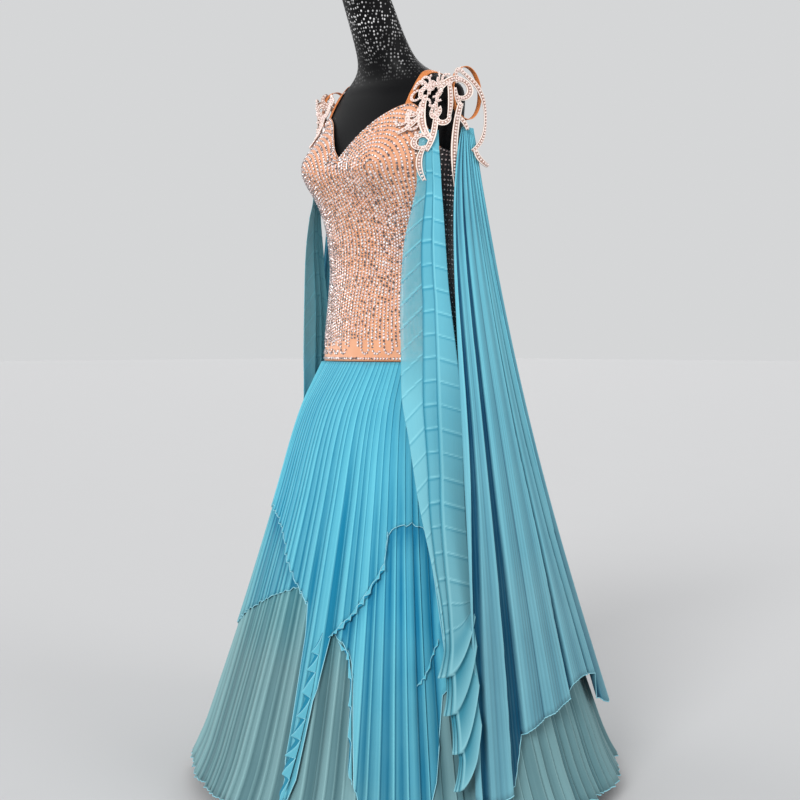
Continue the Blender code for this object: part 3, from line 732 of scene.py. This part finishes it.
pleats = {
    "count": 120, "seed": 7, "depthSeam": 0.0009, "depthHem": 0.0038, "rows": 46,
    # one knife pleat: share of its width, how far out it stands from -1 to 1, and its painted shade: dark in
    # the valley, a painted highlight on the ridge
    "parts": [(0.0, -1.0, 0.00), (0.10, -0.75, 0.42), (0.50, 0.05, 0.52), (0.84, 0.75, 0.60),
              (0.93, 1.0, 1.00)],
    # deep folds: degrees from the front, depth at the hem, half width in degrees
    "flutes": [(-38, 0.005, 2.6), (-29, 0.003, 1.6), (-20, 0.006, 2.0), (-8, 0.004, 1.6),
               (3, 0.005, 2.0), (11.5, 0.007, 1.2),
               (20.5, 0.014, 1.5), (27, 0.005, 1.4), (34, 0.009, 1.3), (40, 0.010, 1.1),
               (44, 0.008, 1.1), (49, 0.009, 1.1), (54, 0.010, 1.2), (60, 0.010, 1.8)],
}
pleatRnd = random.Random(pleats["seed"])
pleatStrength = [pleatRnd.uniform(0.5, 1.3) for _ in range(pleats["count"])]
pleatNudge = [pleatRnd.uniform(-0.30, 0.30) for _ in range(pleats["count"])]
pleatShade = [pleatRnd.uniform(-0.16, 0.16) for _ in range(pleats["count"])]
backFlutes = [(degrees + pleatRnd.uniform(-4, 4), pleatRnd.uniform(0.003, 0.009), 2.0)
              for degrees in range(74, 310, 11)]


def fluteDepth(degrees):
    total = 0.0
    for middle, depth, width in pleats["flutes"] + backFlutes:
        away = (degrees - middle + 180) % 360 - 180
        if abs(away) < 3.5 * width:
            total += depth * math.exp(-((away / width) ** 2))
    return total


def skirtLift(angle, drop, layer, ridge=0.0, strength=1.0):
    # how far a layer stands off the skirt's mean surface, the same folds for every layer
    depth = pleats["depthSeam"] + (pleats["depthHem"] - pleats["depthSeam"]) * drop
    wave = noise.noise(Vector((math.sin(angle) * 4.2, math.cos(angle) * 4.2, drop * 1.2)))
    flute = fluteDepth(math.degrees(angle)) * smoothShare(drop, 0.1, 0.9)
    flare = 0.008 * max(0.0, (drop - 0.90) / 0.10) ** 2
    return (0.0012 + layer * (0.0019 + 0.0030 * drop) + ridge * depth * strength
            + 0.012 * drop * wave - flute + flare)


floorLayer = {"layer": 0, "hem": [(-180, 0.030), (180, 0.030)]}
middleLayer = {
    "layer": 1,
    "hem": [(-180, 0.300), (-172, 0.340), (-130, 0.370), (-75, 0.300), (-64, 0.250), (-45, 0.294),
            (-31, 0.322), (-17, 0.355), (-8, 0.376), (3, 0.395), (12, 0.360), (23, 0.324), (26, 0.311),
            (29, 0.286), (30.5, 0.200), (32, 0.100), (34, 0.050), (44, 0.045), (50, 0.050),
            (53, 0.110), (56, 0.240), (61, 0.250), (80, 0.350), (130, 0.370), (165, 0.340),
            (168.75, 0.075), (174, 0.300), (180, 0.300)],
}
topLayer = {
    "layer": 2,
    "hem": [(-180, 0.500), (-152, 0.350), (-147, 0.100), (-142, 0.330), (-110, 0.480), (-78, 0.420),
            (-60, 0.470), (-48, 0.525), (-45, 0.531), (-29, 0.520), (-21, 0.506), (-14, 0.488),
            (-10, 0.469), (-6, 0.444), (3, 0.399), (10, 0.372), (11.5, 0.300), (12.5, 0.130),
            (13, 0.080), (15, 0.060), (17, 0.100), (18.6, 0.230), (20, 0.322), (24, 0.343), (28, 0.367),
            (33, 0.406), (38, 0.447), (39, 0.500), (43, 0.510), (48, 0.512), (53, 0.506),
            (55, 0.484), (56.5, 0.380), (58, 0.260), (61, 0.250), (64, 0.420), (110, 0.480),
            (142, 0.330), (147, 0.100), (152, 0.350), (180, 0.500)],
}


def wrappedDegrees(degrees):
    return (degrees + 180) % 360 - 180


def hemAt(layer, degrees):
    rough = 0.0050 * noise.noise(Vector((degrees * 0.55, layer["layer"] * 5.0, 0)))
    return lineValue(layer["hem"], degrees) + rough


def pleatedLayer(name, layer, material, nodes):
    parts = pleats["parts"]
    columns = pleats["count"] * len(parts)
    pitch = 2 * math.pi / pleats["count"]
    top, floor = skirtShape["top"], skirtShape["floor"]

    def place(u, v):
        column = round(u * columns) % columns
        number, which = divmod(column, len(parts))
        part, ridge, shade = parts[which]
        following = (number + 1) % pleats["count"]
        first = (number + pleatNudge[number]) * pitch
        last = (number + 1 + pleatNudge[following]) * pitch
        angle = first + (last - first) * part - math.pi
        degrees = math.degrees(angle)
        down = 1 - v
        z = top + (hemAt(layer, wrappedDegrees(degrees)) - top) * down
        drop = (top - z) / (top - floor)
        lift = skirtLift(angle, drop, layer["layer"], ridge, pleatStrength[number])
        edge = smoothShare(down, 0.95, 1.0)
        lift += 0.0040 * edge * drop * noise.noise(Vector((degrees * 0.5, layer["layer"] * 9.0, 3.0)))
        # painted shade: darker in the deep flutes, and on the middle layer a painted shadow under the top
        # layer's hem
        paintedRecessShade = fluteDepth(degrees) * 70 * smoothShare(drop, 0.05, 0.6)
        if layer["layer"] == 1:                        # the top layer's shadow lies on the one below
            above = z - hemAt(topLayer, wrappedDegrees(degrees))
            paintedRecessShade += 0.40 * math.exp(-((above / 0.030) ** 2)) * (1 if above < 0.02 else 0)
        if layer["layer"] == 0:                        # the floor layer's painted shade is flatter across its panels, and its ridges keep their painted highlight
            shade = 1.0 if shade > 0.9 else 0.36 + (shade - 0.5) * 0.35
        shade += pleatShade[number] * (0.4 + drop) - paintedRecessShade
        return skirtPoint(angle, z, lift), max(0.0, shade), (1.0 if layer["layer"] == 0 else 0.97)

    made = gridCloth(name, columns, pleats["rows"], place, material, 0.0004, closed=True)
    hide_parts(*nodes)
    hemLine = [place(column / columns, 0.0)[0] for column in range(columns)]
    roll = tubeAlong(name + "Hem", hemLine, 0.0009, finishes["rolledHem"], closed=True)
    ruffles = [piece for row in layer.get("ruffles", [])
               for piece in edgeRuffle(name, layer, row, material)]
    [roll] + ruffles
    print(name, "area", round(surfaceArea(made), 3))


# Ruffles on the long edges: route in degrees and height, width across and down, waves, and how far out
topLayer["ruffles"] = [
    {"name": "Cascade", "route": [(18.4, 0.330), (18.0, 0.240), (16.6, 0.150), (14.4, 0.062)],
     "width": (-0.024, -0.004), "waves": 8, "out": 0.0060},
    {"name": "Right",
     "route": [(20, 0.322), (24, 0.343), (28, 0.367), (33, 0.406), (38, 0.447), (38.8, 0.500)],
     "width": (0.002, -0.011), "waves": 11, "out": 0.0030},
]
middleLayer["ruffles"] = [
    {"name": "Cascade",
     "route": [(24.0, 0.318), (27.5, 0.300), (29.4, 0.262), (30.2, 0.200), (31.6, 0.100)],
     "width": (-0.006, -0.006), "waves": 6, "out": 0.0020},
    {"name": "Point", "route": [(48.6, 0.250), (51.0, 0.268), (53.5, 0.296), (55.8, 0.325)],
     "width": (0.0, -0.009), "waves": 5, "out": 0.0030},
]
lipRise = 0.82


def edgeRuffle(layerName, layer, row, material):
    # each wave is a pointed lip of cloth over a hollow painted dark as painted shade, with a painted
    # highlight along the lip's edge
    route = row["route"]
    columns, rows = int(row["waves"] * 26), 12
    top, floor = skirtShape["top"], skirtShape["floor"]

    def lipAt(u):
        turns = u * row["waves"]
        phase = (turns + 0.45 * noise.noise(Vector((turns * 0.7, 2.0, 0)))) % 1
        return min(phase / lipRise, (1 - phase) / (1 - lipRise))

    def place(u, v):
        along = u * (len(route) - 1)
        i = min(int(along), len(route) - 2)
        t = along - i
        degrees = route[i][0] * (1 - t) + route[i + 1][0] * t
        z = route[i][1] * (1 - t) + route[i + 1][1] * t
        size = 0.75 + 0.8 * noise.noise(Vector((u * row["waves"] * 0.45, 6.0, 0)))
        size *= min(1.0, u / 0.12, (1 - u) / 0.06)
        free, lip = 1 - v, lipAt(u)
        reach = free * size * (0.45 + 0.55 * lip)
        over = smoothShare(lip - free, -0.06, 0.06)
        rimHighlight = math.exp(-(((lip - free) / 0.14) ** 2))
        drop = (top - z) / (top - floor)
        angle = math.radians(degrees) + row["width"][0] * reach / skirtAt(z)[0]
        lift = skirtLift(angle, drop, layer["layer"], 0.8) + 0.0010
        lift += row["out"] * free * (0.25 + 0.75 * over)
        # painted shade in the hollow under each lip and a painted highlight along its edge
        shade = (0.62 + 0.38 * rimHighlight) * over
        return skirtPoint(angle, z + row["width"][1] * reach, lift), shade, 0.98

    name = layerName + "Ruffle" + row["name"]
    made = gridCloth(name, columns, rows, place, material, 0.0004)
    line = [place(i / columns, 1 - lipAt(i / columns))[0] for i in range(columns + 1)]
    roll = tubeAlong(name + "Hem", line, 0.0007, finishes["rolledHem"])
    return made, roll


pleatedLayer("floorSkirt", floorLayer, finishes["floorChiffon"],
                          [f"skirt_floor_gore_{i}" for i in range(1, 9)])
pleatedLayer("middleSkirt", middleLayer, finishes["middleChiffon"],
                           [f"skirt_middle_{p}" for p in ("front", "left", "back", "right")])
pleatedLayer("topSkirt", topLayer, finishes["topChiffon"],
                        [f"skirt_top_{p}" for p in ("front", "left", "back", "right")])
print("skirt ready")


# Front floats: three flat strips, folded over one another, with arched creases across them

frontFloat = {
    # height, one long edge's x and y, the other's x and y, with the left side's signs
    "left": [
        (0.150, 0.336, -0.203, 0.350, -0.170), (0.227, 0.316, -0.204, 0.332, -0.158),
        (0.386, 0.269, -0.178, 0.292, -0.125), (0.550, 0.211, -0.166, 0.248, -0.092),
        (0.654, 0.168, -0.146, 0.224, -0.070), (0.723, 0.142, -0.137, 0.212, -0.060),
        (0.810, 0.112, -0.110, 0.198, -0.055), (0.910, 0.105, -0.103, 0.184, -0.057),
        (1.000, 0.111, -0.100, 0.174, -0.058), (1.060, 0.126, -0.0975, 0.166, -0.058),
        (1.100, 0.1345, -0.0945, 0.160, -0.057), (1.135, 0.139, -0.0990, 0.158, -0.058),
        (1.165, 0.139, -0.0950, 0.155, -0.058), (1.200, 0.1365, -0.0880, 0.153, -0.0575)],
    "right": [
        (0.150, 0.391, -0.027, 0.392, 0.010), (0.227, 0.370, -0.030, 0.372, 0.022),
        (0.386, 0.318, -0.036, 0.322, 0.030), (0.550, 0.262, -0.044, 0.270, 0.045),
        (0.654, 0.226, -0.052, 0.238, 0.040), (0.723, 0.206, -0.064, 0.216, 0.028),
        (0.810, 0.198, -0.070, 0.207, 0.020), (0.910, 0.187, -0.075, 0.201, 0.008),
        (1.000, 0.177, -0.078, 0.194, -0.010), (1.060, 0.148, -0.094, 0.174, -0.038),
        (1.100, 0.137, -0.094, 0.159, -0.056), (1.135, 0.139, -0.099, 0.158, -0.058),
        (1.165, 0.139, -0.095, 0.155, -0.058), (1.200, 0.1365, -0.088, 0.153, -0.0575)],
    # height, and the shares of the width where the first and the second strip end
    "strips": [(0.15, 0.05, 0.12), (0.33, 0.06, 0.16), (0.47, 0.10, 0.32), (0.62, 0.30, 0.53),
               (0.91, 0.48, 0.72), (1.08, 0.42, 0.68), (1.20, 0.36, 0.66)],
    "columns": (12, 8, 14), "rowsDown": 420, "bottom": 0.098, "leafPitch": 0.060, "leafSlant": 0.100,
    # for each strip: how its creases slope, how far it lies over the strip before, how much it covers
    "slope": (0.95, 0.14, -0.30), "over": (0.0, 0.0034, 0.0068),
    "cover": {"left": (0.46, 0.90, 0.95), "right": (0.80, 0.92, 0.95)},
    # painted light: the right float's shade is raised to stand for light that shines through its cloth
    "paintedLightLift": {"left": 0.0, "right": 0.45}, "creasePitch": 0.041, "creaseShift": (0.012, 0.0, 0.006),
}


def frontFloatPiece(side):
    table = frontFloat[side]
    spots = []
    for strip, count in enumerate(frontFloat["columns"]):
        spots += [(strip, k / count) for k in range(count + 1)]
    columns = len(spots) - 1
    top = table[-1][0]

    def place(u, v):
        strip, s = spots[round(u * columns)]
        first, second = (lineValue(frontFloat["strips"], 1.2 - 1.06 * (1 - v), c) for c in (1, 2))
        ends = (0.0, first, second, 1.0)
        share = ends[strip] * (1 - s) + ends[strip + 1] * s
        if strip and s == 0:
            share -= 0.025                             # the strip is folded back under itself
        level = frontFloat["bottom"] + (top - frontFloat["bottom"]) * v
        clear = smoothShare(level, 0.24, 0.42)
        slant = frontFloat["leafSlant"] * share ** 2.0 * (1 - clear)
        z = level + slant
        edgeX, edgeY, otherX, otherY = (curveValue(table, z, c) for c in (1, 2, 3, 4))
        inner, outer = Vector((edgeX, edgeY, z)), Vector((otherX, otherY, z))
        along = (outer - inner).normalized()
        out = Vector((along.y, -along.x, 0))
        full = smoothShare(top - z, 0.05, 0.28)
        width = (outer - inner).length
        slope = frontFloat["slope"][strip]
        sweep = level - slope * (share - (ends[strip] + ends[strip + 1]) / 2) * width
        sweep += frontFloat["creaseShift"][strip]
        sweep += 0.004 * noise.noise(Vector((sweep * 25, strip * 7.0, 0)))
        away = (sweep / frontFloat["creasePitch"]) % 1 - 0.5
        lined = smoothShare(level, 0.30, 0.34)
        crease = math.exp(-((away / 0.032) ** 2)) * lined
        under = math.exp(-(((away + 0.085) / 0.045) ** 2)) * lined
        # below the strips the cloth hangs in leaves that overlap like feathers
        leaf = (level / frontFloat["leafPitch"] + 0.35) % 1
        leaves = (1 - lined) * 0.011 * (1 - leaf) ** 1.4
        lift = 0.0022 + frontFloat["over"][strip] * full + 0.0006 * crease - 0.0004 * under + leaves
        lift += 0.0012 * math.sin(math.pi * s) * full + 0.003 * full * math.sin(z * 7 + share)
        # painted highlight on each crease and painted shade just under it; the first strip is paler
        shade = 0.48 + 0.08 * strip + 0.55 * crease - 0.42 * under + frontFloat["paintedLightLift"][side]
        shade += 0.40 if strip == 0 else 0.0
        # below the strips each leaf's lip gets a painted highlight and the cloth above it a painted shadow
        # under the leaf above
        shade = shade * lined + (1 - lined) * (1.0 if leaf < 0.08 else 0.85 - 1.05 * leaf)
        # painted highlight just past each edge where a strip turns under, painted shade where it turns
        if strip and s < 0.12:
            shade = 1.0 if s > 0 else 0.0
        cover = frontFloat["cover"][side][strip]
        cover += (0.95 - cover) * (1 - smoothShare(z, 0.70, 0.84))
        cover = min(0.98, cover + 0.3 * crease)
        spill = inner + (inner - outer) * 0.42 * (1 - lined) * (1 - leaf) ** 2 * (1 - share)
        return spill.lerp(outer, share) + out * lift, max(0.0, shade), cover

    name = "frontFloat" + side.title()
    made = gridCloth(name, columns, frontFloat["rowsDown"], place, finishes["veilChiffon"],
                     0.0004)
    if side == "right":
        mirrorMesh(made.data)
    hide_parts("float_front_" + side)
    print(name, "area", round(surfaceArea(made), 4))


# Back floats: deep folds that fan from the arm band to the hem

backFloat = {
    "top": Vector((0.169, 0.002, 1.2100)), "topWidth": 0.030, "reach": 0.401, "drawIn": 0.75,
    "start": 62.0, "end": 138.0, "bow": {"left": 0.028, "right": 0.0}, "bowShare": 0.2,
    "sweep": {"left": 0, "right": 33},
    # degrees round the hem, how far the cloth stands out there, its hem's height, and its painted shade:
    # dark in the recesses, pale on the ridges
    "folds": [(62.0, 0.003, 0.078, 0.70), (63.2, 0.013, 0.072, 1.00), (63.5, 0.000, 0.074, 0.00),
              (65.2, 0.000, 0.074, 0.05), (65.5, 0.012, 0.073, 0.85), (68.0, 0.009, 0.074, 0.55),
              (69.8, 0.013, 0.078, 0.75), (71.0, 0.015, 0.082, 1.00), (71.2, 0.000, 0.086, 0.00),
              (73.0, -0.003, 0.090, 0.05), (77.0, -0.001, 0.166, 0.00), (77.3, 0.011, 0.170, 1.00),
              (80.0, 0.013, 0.176, 0.70), (84.0, 0.009, 0.184, 0.58), (84.3, 0.007, 0.185, 0.20),
              (85.2, 0.008, 0.187, 0.80), (88.0, 0.013, 0.191, 0.82), (92.0, 0.010, 0.198, 0.60),
              (95.6, 0.014, 0.206, 1.00), (95.8, 0.003, 0.209, 0.00), (98.6, 0.003, 0.214, 0.00),
              (98.9, 0.013, 0.226, 1.00), (104.0, 0.012, 0.230, 0.62), (106.0, 0.013, 0.231, 0.75),
              (108.6, 0.014, 0.229, 1.00), (108.8, 0.005, 0.229, 0.05), (111.4, 0.005, 0.227, 0.10),
              (111.7, 0.011, 0.226, 0.80), (115.0, 0.015, 0.222, 1.00), (115.2, 0.004, 0.176, 0.00),
              (118.2, 0.004, 0.172, 0.00), (118.5, 0.010, 0.166, 0.45), (123.0, 0.013, 0.156, 0.70),
              (130.0, 0.012, 0.150, 0.95), (130.4, 0.004, 0.150, 0.10), (138.0, 0.002, 0.142, 0.60)],
    # how far the cloth sags in between its top and its hem, by degrees round the hem
    "sag": [(62, 0.0), (80, 0.004), (95, 0.014), (110, 0.022), (138, 0.024)],
    "columns": 380, "rows": 90, "finePleats": 60,
}


def backFloatPiece(side):
    folds = backFloat["folds"]
    start, end = backFloat["start"], backFloat["end"]
    columns, rows = backFloat["columns"], backFloat["rows"]
    bow, sweep = backFloat["bow"][side], backFloat["sweep"][side]

    def place(u, v):
        down = 1 - v
        drift = 3.2 * noise.noise(Vector((u * 6, down * 1.8, 9.0))) * math.sin(math.pi * min(1, down))
        degrees = start + (end - start) * u
        folded = min(end, max(start, degrees + drift))
        angle = math.radians(degrees + sweep)
        out = Vector((math.sin(angle), -math.cos(angle), 0))
        depth = lineValue(folds, folded, 1)
        hem = lineValue(folds, degrees, 2)
        top = backFloat["top"] + Vector((0, (u - 0.5) * backFloat["topWidth"], 0))
        reach = backFloat["reach"] * (1 - backFloat["drawIn"] * (hem - 0.075))
        foot = out * reach + Vector((0, 0.010, hem))
        ridge = 1 - 2 * abs(2 * ((u * backFloat["finePleats"]) % 1) - 1)
        fullness = down / backFloat["bowShare"]
        forward = Vector((0, -1, 0)) * bow * (1 - u) ** 2 * fullness * math.exp(1 - fullness)
        middle = math.sin(math.pi * down)
        point = top.lerp(foot, down) + forward
        sag = lineValue(backFloat["sag"], degrees) * middle
        point += out * (depth * down ** 0.8 - sag + ridge * 0.0006 * down)
        gathers = math.sin(u * 2 * math.pi * 9 + 3 * down)
        high = 1 - smoothShare(down, 0.0, 0.30)
        point += out * 0.0022 * gathers * high
        # painted shade: near the top the gathers' crests are painted pale and their troughs in shade, and
        # each fine pleat's ridge gets a painted highlight
        shade = lineValue(folds, folded, 3) * (1 - 0.75 * high) + (0.5 + 0.5 * gathers) * 0.75 * high
        return point, max(0.0, shade + 0.06 * ridge), 0.98

    name = "backFloat" + side.title()
    made = gridCloth(name, columns, rows, place, finishes["floatChiffon"], 0.0004)
    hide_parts("float_back_" + side)
    hemLine = [place(i / columns, 0.0)[0] for i in range(columns + 1)]
    roll = tubeAlong(name + "Hem", hemLine, 0.0009, finishes["rolledHem"])
    if side == "right":
        mirrorMesh(made.data)
        mirrorMesh(roll.data)
    print(name, "area", round(surfaceArea(made), 4))


# Straps, arm bands and their rings

strap = {"x": 0.105, "width": 0.012, "lift": 0.0014, "frontZ": 1.2490, "backZ": 1.1600,
         "ridgeShare": 0.36}


def strapPiece():
    def ridgeZ(x):
        low, high = 1.285, 1.50
        for _ in range(24):
            middle = (low + high) / 2
            if figureAt(middle)[0] + strap["lift"] > x:
                low = middle
            else:
                high = middle
        return low

    ridges = {}

    def place(u, v):
        x = strap["x"] + (u - 0.5) * strap["width"]
        if u not in ridges:
            ridges[u] = ridgeZ(x)
        ridge = ridges[u]
        if v < strap["ridgeShare"]:
            rise = math.sin(v / strap["ridgeShare"] * math.pi / 2)
            z, facing = strap["frontZ"] + (ridge - strap["frontZ"]) * rise, -1
        else:
            fall = 1 - math.cos((v - strap["ridgeShare"]) / (1 - strap["ridgeShare"]) * math.pi / 2)
            z, facing = ridge - (ridge - strap["backZ"]) * fall, 1
        halfWidth, halfDepth, centreY = figureAt(z)
        reach = math.sqrt(max(0.0, 1 - (x / (halfWidth + strap["lift"])) ** 2))
        cup = figure["cupDepth"] * cupBulge(figure["cupAngle"], z) if facing < 0 else 0
        y = centreY + facing * (halfDepth + strap["lift"]) * reach - cup
        return Vector((x, y, z)), 0.5

    made = gridCloth("strapLeft", 4, 120, place, finishes["elastic"], 0.0011)
    made.data.flip_normals()
    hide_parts("strap_left")
    right = mirroredCopy(made, "strapRight")
    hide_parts("strap_right")


def armBandPiece():
    band = {"centre": Vector((0.1708, -0.004, 1.2700)), "halfHeight": 0.046, "halfDepth": 0.036,
            "width": 0.0085, "wall": 0.0012}

    def place(u, v):
        turn = 2 * math.pi * v
        twist = 0.12 * math.sin(turn)
        wide = (u - 0.5) * band["width"]
        return band["centre"] + Vector((wide, (band["halfDepth"] + wide * twist) * math.sin(turn),
                                        band["halfHeight"] * math.cos(turn))), 0.5

    made = gridCloth("armBandLeft", 4, 96, place, finishes["elastic"],
                     band["wall"], closed=True)
    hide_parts("armband_left")
    right = mirroredCopy(made, "armBandRight")
    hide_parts("armband_right")


def armRingPiece():
    turns = 40
    centre = Vector((0.1700, -0.004, 1.2170))
    line = []
    for i in range(turns):
        t = 2 * math.pi * i / turns
        offset = Vector((0.0, 0.0052 * math.cos(t), 0.0056 * math.sin(t)))
        offset.rotate(Matrix.Rotation(math.radians(35), 3, "Z"))
        line.append(centre + offset)
    made = tubeAlong("armRingLeft", line, 0.0011, finishes["brass"], True, 3)
    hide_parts("armband_ring_left")
    right = mirroredCopy(made, "armRingRight")
    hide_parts("armband_ring_right")


# Shoulder lace: corded scrolls with pearls down the middle

lace = {
    "middleAngle": math.radians(73), "middleZ": 1.232, "arcRadius": 0.140, "chestLift": 0.0070,
    "leaves": -34, "reaches": 4,
    "armPath": [(-35, 0.141, -0.090), (0, 0.166, -0.062), (15, 0.1745, -0.048),
                (30, 0.1739, -0.031), (50, 0.1785, -0.008), (65, 0.1830, 0.012),
                (80, 0.1815, 0.034), (101, 0.1740, 0.053)],
    # centre across and up, start and end radius, start angle, sweep, width, in millimetres
    "scrolls": [
        (60, 30, 110, 110, 179, 48, 11), (-50, 37, 12, 12, 60, 205, 8),
        (-33, 38, 13, 13, 10, 200, 8), (-16, 39, 12, 12, 200, 300, 8),
        (-62, 4, 10, 10, 40, -230, 7), (-110, 12, 65, 65, -6, -48, 8),
        (-160, -20, 148, 148, 21, -41, 9), (-16, 2, 11, 11, 100, 290, 8),
        (1, -10, 11, 11, 165, 205, 8), (-120, 20, 134, 134, -13, 27, 8),
        (-29, -55, 13, 11, 20, 300, 8), (60, -90, 88, 88, 162, 40, 7),
        (35, 15, 45, 45, 160, -78, 9), (37, 40, 18, 14, 135, -250, 9),
        (70, 40, 45, 42, 176, 48, 8), (322, -75, 300, 300, 162, 30, 13),
        (20, -35, 30, 30, 80, -68, 7), (34, 68, 8, 8, 0, 310, 6),
        (-5, -5, 89, 87, 67, -111, 8), (90, -60, 28, 26, 186, 100, 9),
        (-68, 30, 11, 8, 30, 300, 4), (-58, 56, 10, 8, -60, 280, 4), (-40, 60, 10, 9, 120, 270, 4),
        (-24, 62, 9, 9, 180, 260, 4), (-76, -14, 12, 9, 60, -250, 4), (-52, -24, 10, 8, 150, 260, 4),
        (-36, -38, 9, 7, 60, -250, 4), (8, 54, 10, 8, 60, 280, 4), (-46, 14, 10, 8, 0, 280, 4),
        (-66, 46, 12, 9, 200, -260, 6), (-44, 48, 9, 7, 30, 300, 5), (-30, 20, 10, 8, 220, 270, 5),
        (-58, -8, 12, 9, 120, 250, 6), (-8, 28, 10, 8, 300, -270, 5)],
}


def lacePoint(reach, rise, lift):
    z = lace["middleZ"] + rise / 1000
    angle = lace["middleAngle"] + reach / 1000 / lace["arcRadius"]
    chest = figurePoint(angle, min(z, 1.285), lace["chestLift"] + lift)
    chest.z = z
    arm = Vector((curveValue(lace["armPath"], reach, 1) + lift,
                  curveValue(lace["armPath"], reach, 2), z))
    return chest.lerp(arm, smoothShare(reach, lace["leaves"], lace["reaches"]))


def scrollSpot(scroll, v, off):
    x, z, startRadius, endRadius, startAngle, sweep, width = scroll
    turn = math.radians(startAngle + sweep * v)
    radius = startRadius + (endRadius - startRadius) * v
    wide = width * (0.62 + 0.38 * math.sin(math.pi * v)) * 1.22
    radius += off * wide
    return x + radius * math.cos(turn), z + radius * math.sin(turn)


def lacePieces():
    # the ribbon's height across its width: a cord, the ground, a cord
    profile = [(-0.50, 0.3), (-0.45, 1.8), (-0.36, 2.1), (-0.27, 0.5), (0.0, 0.2), (0.27, 0.5),
               (0.36, 2.1), (0.45, 1.8), (0.50, 0.3)]
    pieces, pearls = [], []
    for number, scroll in enumerate(lace["scrolls"]):
        base = 0.0008 * (number % 2)
        length = math.radians(abs(scroll[5])) * scroll[2] / 1000
        along = max(14, round(length / 0.0022))

        def place(u, v):
            off, height = profile[round(u * 8)]
            reach, rise = scrollSpot(scroll, v, off)
            # the profile's height also gives the painted shade: cords pale, the ground between them in
            # painted shade
            return lacePoint(reach, rise, base + height * 0.0008), min(1.0, height / 1.8)

        ribbon = gridCloth(f"lacePart{number}", 8, along, place, finishes["lace"],
                           0)
        if scroll[5] < 0:
            ribbon.data.flip_normals()
        pieces.append(ribbon)
        count = max(3, round(length / 0.0056))
        for k in range(count):
            reach, rise = scrollSpot(scroll, (k + 0.5) / count, 0)
            pearls.append(lacePoint(reach, rise, base + 0.0012))
    joined = bmesh.new()
    for piece in pieces:
        joined.from_mesh(piece.data)
        bpy.data.objects.remove(piece)
    mesh = bpy.data.meshes.new("laceLeft")
    joined.to_mesh(mesh)
    joined.free()
    made = keep(mesh, "laceLeft", finishes["lace"])
    thick = made.modifiers.new("Wall", "SOLIDIFY")
    thick.thickness, thick.offset = 0.0012, -1.0
    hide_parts("shoulder_lace_left")
    right = mirroredCopy(made, "laceRight")
    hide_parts("shoulder_lace_right")
    beads = bmesh.new()
    for point in pearls:
        bmesh.ops.create_icosphere(beads, subdivisions=1, radius=0.0025,
                                   matrix=Matrix.Translation(point))
    mesh = bpy.data.meshes.new("lacePearlsLeft")
    beads.to_mesh(mesh)
    beads.free()
    left = keep(mesh, "lacePearlsLeft", finishes["pearl"])
    mirroredCopy(left, "lacePearlsRight")
    print("pearls", len(pearls))


for side in ("left", "right"):
    frontFloatPiece(side)
    backFloatPiece(side)
print("floats ready")
strapPiece()
armBandPiece()
armRingPiece()
lacePieces()
print("straps, bands and lace ready")


# Floor, light and camera

def studio():
    view = {"distance": 2.45, "height": 0.82, "azimuth": math.radians(45),
            "pitch": math.radians(2.44), "lens": 58.03}
    camera = bpy.data.cameras.new("camera")
    camera.lens, camera.sensor_width, camera.sensor_fit = view["lens"], 36.0, "HORIZONTAL"
    holder = bpy.data.objects.new("camera", camera)
    bpy.context.scene.collection.objects.link(holder)
    holder.location = (view["distance"] * math.sin(view["azimuth"]),
                       -view["distance"] * math.cos(view["azimuth"]), view["height"])
    holder.rotation_euler = (math.radians(90) - view["pitch"], 0, view["azimuth"])
    bpy.context.scene.camera = holder

    ground = bmesh.new()
    bmesh.ops.create_grid(ground, x_segments=1, y_segments=1, size=60)
    mesh = bpy.data.meshes.new("floor")
    ground.to_mesh(mesh)
    ground.free()
    mesh.materials.append(
        plainFinish("paleFloor", (0.540, 0.540, 0.545), (0.530, 0.530, 0.535), 0.9, 60, 0.05))
    floor = bpy.data.objects.new("floor", mesh)
    floor.location.z = -0.0005
    bpy.context.scene.collection.objects.link(floor)

    bpy.context.scene.view_settings.view_transform = "Standard"
    world = bpy.data.worlds.new("studio")
    world.use_nodes = True
    world.node_tree.nodes["Background"].inputs["Color"].default_value = (0.98, 0.99, 1.0, 1)
    world.node_tree.nodes["Background"].inputs["Strength"].default_value = 0.68
    bpy.context.scene.world = world
    for name, place, spreadAngle, power in (
            ("key", (1.2, -3.1, 1.5), 22, 2.15), ("left", (-3.0, -1.2, 0.65), 40, 1.0),
            ("side", (3.4, 0.4, 1.25), 30, 0.7), ("back", (-2.2, 2.6, 1.65), 30, 0.6)):
        lamp = bpy.data.lights.new(name, "SUN")
        lamp.energy, lamp.angle = power, math.radians(spreadAngle)
        light = bpy.data.objects.new(name, lamp)
        light.location = place
        light.rotation_euler = Vector(place).to_track_quat("Z", "Y").to_euler()
        bpy.context.scene.collection.objects.link(light)


studio()
bpy.context.view_layer.update()
print("stage ready")
